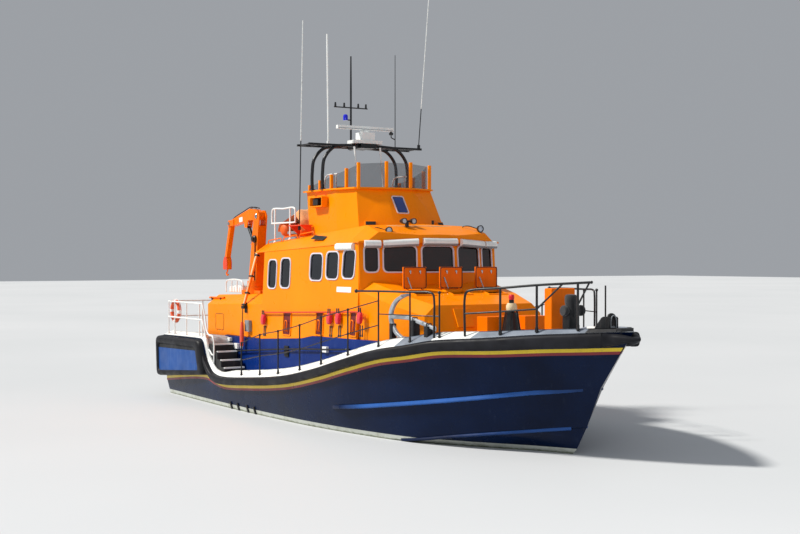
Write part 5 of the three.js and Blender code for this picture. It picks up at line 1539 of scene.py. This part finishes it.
# Doors and hatches
def hatches():
    for name, y in HATCH_YS.items():
        seal, gear = Shape(), Shape()
        place = facing((LID_FACE_X, y, 3.212), *AHEAD)
        seal.rim(oblong(-0.304, 0.003, 0.304, 0.486), 0.06, -0.016, 0.05, 6, -0.002, 0.012, 0, place)
        seal.piece("hatch_seal_" + name, SEAL, body="lid_" + name, slot="gear_black", bevel=0.004)
        for dy in (-0.13, 0.13):
            dog = facing((LID_FACE_X, y + dy, 3.6), *AHEAD)
            gear.lathe([(0.0, 0), (0.026, 0), (0.026, 0.012), (0.012, 0.02), (0.0, 0.02)], dog, 0, 16)
            gear.box((-0.012, -0.05, 0.012), (0.012, 0.012, 0.022), 0, dog)
        gear.tube([(HATCH_X, y - 0.2, 3.46), (HATCH_X + 0.17, y - 0.2, 3.21)], 0.011)
        gear.tube([(HATCH_X, y - 0.2, 3.46), (HATCH_X + 0.09, y - 0.2, 3.328)], 0.018)
        gear.piece("hatch_gear_" + name, STEEL, body="lid_" + name, slot="steel", smooth=40)


def doors():
    trim, glass, handles = Shape(), Shape(), Shape()
    place = facing((-3.543, 0.56, 3.03), *ASTERN)
    framed_window(trim, glass, oblong(-0.17, 0.45, 0.17, 0.82), 0.08, place
                  @ shift((0, 0, 0.012)))
    handles.tube([place @ Vector(p) for p in ((0.25, 0.4, 0.0), (0.25, 0.4, 0.05), (0.25, 0.22, 0.05),
                                              (0.25, 0.22, 0.0))],
                 0.011)
    trim.piece("aft_door_frame", [FRAME_WHITE, SEAL], body="aft_door", slot="gear_white", bevel=0.004)
    glass.piece("aft_door_pane", PANE, body="aft_door", slot="window")
    handles.piece("aft_door_handle", STEEL, body="aft_door", slot="steel", smooth=60)


hatches()
doors()


# Rails
RAIL_IN = 0.075
RAIL_R = 0.022
POST_R = 0.018
WIRE_R = 0.012


def rail_half(x):
    return along(SHEER, x * 1000, 1) / 1000 - RAIL_IN


def deck_z(x):
    return along(SHEER, x * 1000, 2) / 1000


def ball(shape, centre, radius):
    turns = steps_between(0.0, math.pi, 8)
    shape.lathe([(radius * math.sin(a), -radius * math.cos(a)) for a in turns], shift(centre), 0, 16)


def post(shape, x, y, head, radius=POST_R):
    """An upright with a foot plate, on the edge board or on the deck."""
    low = deck_z(x) + 0.004
    if rail_half(x) - abs(y) < 0.05:
        low = deck_z(x) + board_up(x * 1000, RAIL_IN)
    else:
        low += CAMBER * (1 - (y / rail_half(x)) ** 2)
    shape.upright(x, y, low - 0.02, head, radius)
    shape.lathe([(0.0, 0), (0.04, 0), (0.04, 0.012), (radius * 1.4, 0.03), (radius * 1.4, 0.09),
                 (0.0, 0.09)],
                shift((x, y, low)), 0, 18)


STERN_RAIL_X = -8.4
STERN_POSTS = (-8.24, -7.75, -6.83, -5.86)


def stern_rail():
    rail = Shape()
    fore, head = -5.64, 2.67
    for z in (2.23, head):
        half = [(fore, -rail_half(fore), z), (-7.0, -rail_half(-7.0), z), (-8.24, -rail_half(-8.24), z),
                (-8.365, -2.535, z), (STERN_RAIL_X, -2.4, z), (STERN_RAIL_X, -1.2, z)]
        rail.pipe(both_ways(half), 8, RAIL_R)
    for side, _ in SIDES:
        for x in STERN_POSTS + (fore,):
            post(rail, x, side * rail_half(x), head)
        y = side * 2.68
        for drop, end in ((0.0, 0.7), (0.43, None)):
            path = [(fore, side * rail_half(fore), head - drop), (-5.48, y, 2.35 - drop),
                    (-5.27, y, 1.88 - drop * 0.9)]
            if end is None:
                path += [(-5.12, y, 1.42), (-4.98, y, 1.33), (-4.9, y, 1.33)]
            else:
                path += [(-4.96, y, 1.82), (-4.88, y, 1.7), (-4.88, y, 1.0)]
            rail.pipe(path, 8, RAIL_R)
    for y in (-1.5, -0.5, 0.5, 1.5):
        post(rail, STERN_RAIL_X, y, head)
    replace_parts(rail.piece("stern_rails", WHITE, slot="gear_white", smooth=60), "rail_stern")


# columns: x, height of the head
LOW_STANCHIONS = [(-3.0, 1.76), (-1.905, 2.02), (-0.885, 2.16), (0.225, 2.35), (1.235, 2.57), (2.345, 2.78)]
RAISED_POSTS = (3.4, 4.305)
RAISED_Z = 3.2
HOOP_X = 4.905
GATE_X = 5.03
MID_DROP = 0.48


def side_rails():
    for side, name in SIDES:
        rail = Shape()

        def on_rail(x, z):
            return Vector((x, side * rail_half(x), z))

        for x, z in LOW_STANCHIONS + [(x, RAISED_Z) for x in RAISED_POSTS + (GATE_X,)]:
            post(rail, x, side * rail_half(x), z)
        upper = [on_rail(x, z) for x, z in LOW_STANCHIONS] + [on_rail(RAISED_POSTS[0], 3.0)]
        lower = [Vector((p.x, p.y, (p.z + deck_z(p.x)) / 2)) for p in upper]
        for wire in (upper, lower):
            rail.pipe(wire, 5, WIRE_R, sides=8)
            for p in wire[:-1]:
                rail.tube([p - upward(0.026), p + upward(0.026)], 0.026)
        hoop = [on_rail(2.66, RAISED_Z - 0.01), *(on_rail(x, RAISED_Z) for x in RAISED_POSTS),
                on_rail(4.79, RAISED_Z),
                on_rail(4.88, 3.165), on_rail(HOOP_X, 3.07), on_rail(HOOP_X, deck_z(HOOP_X) + 0.05)]
        rail.pipe(hoop, 9, RAIL_R)
        middle = [on_rail(x, RAISED_Z - MID_DROP) for x in RAISED_POSTS + (HOOP_X, GATE_X)]
        rail.pipe(middle, 5, WIRE_R, sides=8)
        ball(rail, hoop[0], 0.042)
        ball(rail, on_rail(GATE_X, RAISED_Z), 0.034)
        made = rail.piece("side_rails_" + name, BLACK, slot="gear_black", smooth=60)
        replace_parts(made, "rail_side_" + name)


BOW_POSTS = (6.3, 6.96, 7.64)
BOW_RAIL_AFT = 5.59
BOW_RAIL_END = 7.85
BOW_RAIL_RISE = 0.96
BOW_MID_RISE = 0.5
BOW_RAIL_R = 0.024
BOW_BRACE_R = 0.018


def bow_rail():
    """The starboard bow rail, and a lone stanchion at its aft end's place to port."""
    rail = Shape()

    def on_rail(x, rise):
        return Vector((x, -rail_half(x), deck_z(x) + rise))

    for x in BOW_POSTS:
        post(rail, x, -rail_half(x), deck_z(x) + BOW_RAIL_RISE, BOW_RAIL_R)
    foot = board_up(BOW_RAIL_AFT * 1000, RAIL_IN)
    rail.pipe([on_rail(BOW_RAIL_AFT, foot), on_rail(BOW_RAIL_AFT, BOW_RAIL_RISE - 0.13),
                           on_rail(BOW_RAIL_AFT + 0.035, BOW_RAIL_RISE - 0.035),
                           on_rail(BOW_RAIL_AFT + 0.13, BOW_RAIL_RISE),
                           *(on_rail(x, BOW_RAIL_RISE) for x in BOW_POSTS),
                           on_rail(BOW_RAIL_END, BOW_RAIL_RISE)], 8,
              BOW_RAIL_R)
    rail.pipe([on_rail(x, BOW_MID_RISE) for x in (BOW_RAIL_AFT,) + BOW_POSTS[:2]], 8, BOW_BRACE_R)
    rail.tube([on_rail(BOW_POSTS[1], BOW_MID_RISE), on_rail(7.4, BOW_RAIL_RISE)], BOW_BRACE_R)
    rail.tube([on_rail(BOW_POSTS[2], 0.54), on_rail(BOW_RAIL_END - 0.03, BOW_RAIL_RISE)], BOW_BRACE_R)
    ball(rail, on_rail(BOW_RAIL_END, BOW_RAIL_RISE), 0.03)
    post(rail, BOW_RAIL_AFT, rail_half(BOW_RAIL_AFT), deck_z(BOW_RAIL_AFT) + BOW_RAIL_RISE + 0.06,
         BOW_BRACE_R)
    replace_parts(rail.piece("bow_rails", BLACK, slot="gear_black", smooth=60), "rail_bow")


def roof_rails():
    for side, name in SIDES:
        rail = Shape()
        y, top, low = side * 1.4, 5.19, 4.82
        rail.pipe([(-3.98, y, low), (-3.98, y, top - 0.06), (-3.93, y, top), (-3.3, y, top),
                               (-2.69, y, top), (-2.64, y, top - 0.06), (-2.64, y, low)], 6, RAIL_R)
        rail.tube([(-4.0, y, low), (-2.62, y, low)], RAIL_R)
        for x in (-3.8, -2.93):
            rail.tube([(x, y, roof_edge(x) - 0.02), (x, y, top)], RAIL_R)
            rail.lathe([(0.0, 0), (0.055, 0), (0.055, 0.012), (0.03, 0.03), (0.0, 0.03)],
                       shift((x, y, roof_edge(x) + 0.002)), 0, 18)
        made = rail.piece("roof_rails_" + name, WHITE, slot="gear_white", smooth=60)
        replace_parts(made, "roof_rail_" + name)


stern_rail()
side_rails()
bow_rail()
roof_rails()


# Deck gear
def life_ring():
    ring, line = Shape(), Shape()
    centre = Vector((-7.9, -(rail_half(-7.9) - RAIL_R - 0.065), 2.39))
    big, small, turns, sides = 0.275, 0.058, 64, 18
    rows = []
    for a in around(turns):
        spoke = Vector((math.cos(a), 0, math.sin(a)))
        rows.append([centre + spoke * (big + small * math.cos(b)) + Vector((0, small * math.sin(b), 0))
                     for b in around(sides)])
    ring.grid(rows, 0, round_rows=True, round_all=True)
    band = turns // 4
    for index in range(len(ring.marks)):
        k = index // sides
        ring.marks[index] = 1 if (k + 2) % band < 3 else 0
    for k in range(4):
        a0 = math.pi / 2 * k + math.pi / 16
        arc = [centre + Vector((math.cos(a0 + t), 0,
                                math.sin(a0 + t))) * (big + small + 0.006 + 0.03 * math.sin(t * 2))
               for t in steps_between(0.0, math.pi / 2, 10)]
        line.tube(arc, 0.006, sides=8)
    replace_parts(ring.piece("life_ring_shell", [RING_RED, WHITE], slot="ring_red", smooth=70), "life_ring")
    line.piece("life_ring_line", WHITE, slot="gear_white", smooth=60)


def flat_bar(shape, path, widths, thick, y, mark=0):
    """A bar with rounded edges along points x, z at breadth y; widths are half widths."""
    points = [Vector((x, y, z)) for x, z in path]
    rows = []
    for i, p in enumerate(points):
        ahead = (points[min(i + 1, len(points) - 1)] - points[max(i - 1, 0)]).normalized()
        out = Vector((-ahead.z, 0, ahead.x))
        ring = []
        for a in around(16):
            u = signed_power(math.cos(a), 0.5) * widths[i]
            v = signed_power(math.sin(a), 0.5) * thick
            ring.append(p + out * u + Vector((0, v, 0)))
        rows.append(ring)
    shape.capped(rows, mark)


ANCHOR_Y = -2.05
ANCHOR_ARMS = [(3.61, 2.21), (3.38, 2.295), (3.2, 2.465), (3.135, 2.65), (3.2, 2.835), (3.41, 3.01),
               (3.795, 3.13)]
ANCHOR_SHANK = [(3.14, 2.65), (3.5, 2.652), (3.85, 2.645), (4.4, 2.55), (4.84, 2.462)]
# columns: share of the palm's length, half width
PALM = [(0.0, 0.035), (0.5, 0.128), (0.72, 0.118), (1.0, 0.03)]


def anchor():
    """The stowed anchor: arms that taper to their palms, a shank with a ring, and chocks."""
    gear = Shape()
    arms = [(p.x, p.z) for p in smooth_path([(x, 0, z) for x, z in ANCHOR_ARMS], 7)]
    last = len(arms) - 1
    flat_bar(gear, arms, [0.024 + 0.036 * math.sin(math.pi * i / last) ** 0.7 for i in range(last + 1)],
             0.038, ANCHOR_Y)
    flat_bar(gear, ANCHOR_SHANK, [0.056, 0.05, 0.045, 0.042, 0.036], 0.034, ANCHOR_Y)
    for root, tip in (((3.5, 2.235), (3.64, 2.205)), ((3.62, 3.085), (3.8, 3.135))):
        start, run = Vector((root[0], ANCHOR_Y, root[1])), Vector((tip[0] - root[0], 0, tip[1] - root[1]))
        up = Vector((-run.z, 0, run.x)).normalized() * 0.013
        edge = [start + run * t + Vector((0, w, 0)) for t, w in PALM]
        edge += [start + run * t - Vector((0, w, 0)) for t, w in PALM[::-1]]
        gear.capped([[p - up for p in edge], [p + up for p in edge]])
    turns = around(28)
    gear.tube([(4.83 + 0.055 * math.cos(a), ANCHOR_Y, 2.46 + 0.055 * math.sin(a)) for a in turns], 0.012,
              closed=True)
    for x, top in ((4.09, 2.6), (4.62, 2.5)):
        low = deck_z(x)
        gear.prism(plate(x - 0.07, ANCHOR_Y - 0.09, x + 0.07, ANCHOR_Y + 0.09, 0.03, 3), low, top, 1)
        gear.tube([(x, ANCHOR_Y - 0.06, top - 0.03), (x, ANCHOR_Y - 0.055, top + 0.06),
                   (x, ANCHOR_Y + 0.055, top + 0.06),
                   (x, ANCHOR_Y + 0.06, top - 0.03)], 0.012, 1)
    gear.box((3.3, ANCHOR_Y - 0.12, deck_z(3.4)), (3.62, ANCHOR_Y + 0.12, 2.2), 1)
    gear.box((3.16, ANCHOR_Y - 0.06, deck_z(3.2)), (3.26, ANCHOR_Y + 0.06, 2.5), 1)
    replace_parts(gear.piece("stowed_anchor", [GALVANISED, BLACK], slot="gear_grey", bevel=0.005, smooth=40),
                "anchor")


def windlass():
    """A mooring capstan under a black cover, on its base box."""
    gear = Shape()
    x, y = 6.9, -0.2
    low = deck_z(x) + CAMBER * 0.9
    gear.prism(plate(x - 0.11, y - 0.14, x + 0.11, y + 0.14, 0.04, 4), low - 0.05, 2.78, 1)
    gear.prism(plate(x - 0.16, y - 0.19, x + 0.16, y + 0.19, 0.05, 4), low - 0.05, low + 0.02, 1)
    barrel = [(0.0, 2.66), (0.1, 2.66), (0.118, 2.72), (0.112, 2.8), (0.122, 2.9), (0.114, 2.98),
              (0.124, 3.05),
              (0.122, 3.14), (0.1, 3.175), (0.04, 3.185), (0.0, 3.185)]
    gear.lathe(barrel, shift((x, y, 0)), 0, 30)
    drum = [(0.0, 0.0), (0.09, 0.0), (0.108, 0.02), (0.11, 0.07), (0.08, 0.1), (0.075, 0.255), (0.08, 0.41),
            (0.11, 0.44),
            (0.108, 0.49), (0.09, 0.51), (0.0, 0.51)]
    gear.lathe(drum, facing((x, 0.1, 2.86), *TO_STARBOARD), 0, 28)
    gear.tube([(x + 0.05, y - 0.02, 2.7), (x + 0.128, y - 0.02, 2.76), (x + 0.128, y - 0.02, 3.02)], 0.008,
              1)
    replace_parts(gear.piece("covered_windlass", [CANVAS, BLACK], slot="gear_black", bevel=0.008, smooth=50),
                "windlass")


FAIRLEAD_CHEEK = [(7.48, 2.35), (7.48, 2.52), (7.7, 2.75), (7.76, 2.775), (7.9, 2.775), (7.93, 2.75),
                  (7.93, 2.35)]


def fairlead():
    """The stem fairlead: two cheeks that slope down aft, an arch over them and a roller between."""
    gear = Shape()
    for side in (-1, 1):
        gear.capped([[(x, side * y, z) for x, z in FAIRLEAD_CHEEK] for y in (0.072, 0.116)])
    gear.box((7.5, -0.118, 2.35), (7.93, 0.118, 2.53))
    arch = [(7.86, -0.094, 2.56), (7.86, -0.092, 2.72), (7.86, -0.06, 2.79), (7.86, 0, 2.812),
            (7.86, 0.06, 2.79),
            (7.86, 0.092, 2.72), (7.86, 0.094, 2.56)]
    gear.pipe(arch, 7, 0.032, 0, 18)
    gear.pipe([(x + 0.07, y * 0.72, z - 0.012) for x, y, z in arch], 7, 0.009, 1, 10)
    gear.lathe([(0.0, -0.075), (0.035, -0.075), (0.026, 0.0), (0.035, 0.075), (0.0, 0.075)],
               facing((7.86, 0, 2.565), *TO_STARBOARD), 1, 18)
    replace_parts(gear.piece("stem_fairlead", [BLACK, GREY], slot="gear_black", bevel=0.006, smooth=45),
                "bow_fairlead")


def bow_gear():
    anchor()
    windlass()
    fairlead()
    stand = Shape()
    place = shift((4.93, -0.18, deck_z(4.93)))
    profile = [(0.0, 0.0), (0.205, 0.0), (0.2, 0.04), (0.175, 0.18), (0.145, 0.36), (0.125, 0.47),
               (0.128, 0.52),
               (0.06, 0.54), (0.05, 0.62), (0.0, 0.62)]
    stand.lathe(profile, place, 0, 30)
    for turn in range(4):
        a = math.pi * (0.25 + turn / 2)
        stand.tube([place @ Vector((0.2 * math.cos(a), 0.2 * math.sin(a), 0.02)),
                    place @ Vector((0.115 * math.cos(a), 0.115 * math.sin(a), 0.55))], 0.022, 0, 8)
    stand.lathe([(0.0, 0.56), (0.1, 0.56), (0.115, 0.6), (0.115, 0.66), (0.09, 0.72), (0.0, 0.72)], place,
                1, 24)
    stand.lathe(disc(0.055, 0.72, 0.79), place, 0, 20)
    stand.lathe([(0.0, 0.79), (0.05, 0.79), (0.06, 0.83), (0.06, 0.87), (0.045, 0.9), (0.0, 0.9)], place, 2,
                20)
    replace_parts(stand.piece("bitts_and_cover", [BLACK, CREAM, SIGNAL_RED], slot="gear_black", smooth=40),
                "bitts")


life_ring()
bow_gear()


# Daughter boat under its cover
RIDGE = 0.72            # the cover's highest line, as a share of its width


def daughter_boat():
    tubes = Shape()
    z, radius = 4.67, 0.19
    path = [(-4.24, -0.98, z), (-4.24, -0.6, z), (-4.24, 0.5, z), (-4.12, 0.85, z), (-3.75, 1.03, z + 0.03),
            (-3.38, 0.85, z), (-3.26, 0.5, z), (-3.26, -0.6, z), (-3.26, -0.98, z)]
    line = smooth_path(path, 8)
    radii = [radius * (0.55 if i in (0, len(line) - 1) else 0.85 if i in (1, len(line) - 2) else 1.0)
             for i in range(len(line))]
    tubes.tube(line, radii, sides=22)
    tubes.box((-4.1, -0.9, 4.55), (-3.4, 0.8, 4.62), 1)
    hull_piece = tubes.piece("daughter_boat", [HYPALON, GREY], slot="gear_orange", smooth=60)
    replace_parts(hull_piece, "dinghy")
    cover = Shape()
    rows = []
    across = shares(28)
    for v in shares(34):
        y = -1.0 + 2.2 * v
        pinch = 0.33 * max(0.0, (v - 0.72) / 0.28) ** 2
        a, b = -4.45 + pinch, -3.05 - pinch
        end = 1.0 - 0.35 * max(0.0, 1 - v / 0.06) - 0.5 * max(0.0, (v - 0.85) / 0.15)
        row = []
        for u in across:
            x = a + (b - a) * u
            tent = u / RIDGE if u < RIDGE else (1 - u) / (1 - RIDGE)
            edge = min(1.0, min(u, 1 - u) / 0.07)
            height = 4.62 + 0.16 * edge ** 0.5 + 0.42 * max(0.0, tent) ** 0.9 * end * edge
            sag = 0.018 * math.sin(v * 19.0) * math.sin(math.pi * u) + 0.008 * math.sin(v * 53.0 + u * 9.0)
            row.append((x, y, height - sag))
        rows.append(row)
    cover.grid(rows)
    made = cover.piece("daughter_cover", COVER, slot="boat_cover", smooth=80)


daughter_boat()


# Floor at the waterline, soft light and pale surroundings
FLOOR_SIZE = 400.0


def stage():
    half = FLOOR_SIZE / 2
    mesh = bpy.data.meshes.new("floor")
    mesh.from_pydata([(-half, -half, 0), (half, -half, 0), (half, half, 0), (-half, half, 0)], [],
                     [(0, 1, 2, 3)])
    made = show("floor", mesh)
    look = Look("floor_paint")
    look.colour(look.mix(look.patches(0.05, 3.0, 0.3, 0.7), (198, 201, 204), (206, 208, 211)))
    look.put(rough=0.6, gloss=0.15)
    mesh.materials.append(look.material)


def light(name, place, towards, energy, size, colour=(1, 1, 1)):
    data = bpy.data.lights.new(name, "AREA")
    data.energy = energy
    data.size = size
    data.color = colour
    made = show(name, data)
    made.location = place
    aim(made, Vector(towards) - Vector(place))


def lighting():
    sun = bpy.data.lights.new("key", "SUN")
    sun.energy = 4.6
    sun.angle = math.radians(6)
    sun.color = (1.0, 0.965, 0.9)
    aim(show("key", sun), Vector((0.4, 0.66, -0.78)))
    light("fill", (30, -22, 18), (0, 0, 2), 1500, 14, (0.93, 0.96, 1.0))
    world = bpy.data.worlds.new("surroundings")
    world.use_nodes = True
    back = world.node_tree.nodes["Background"]
    back.inputs["Color"].default_value = (0.80, 0.84, 0.9, 1.0)
    back.inputs["Strength"].default_value = 0.42
    bpy.context.scene.world = world
    bpy.context.scene.view_settings.view_transform = "Standard"
    bpy.context.scene.view_settings.look = "None"


stage()
lighting()


# A box's corners as lists
def corners(box):
    return [list(corner) for corner in box]
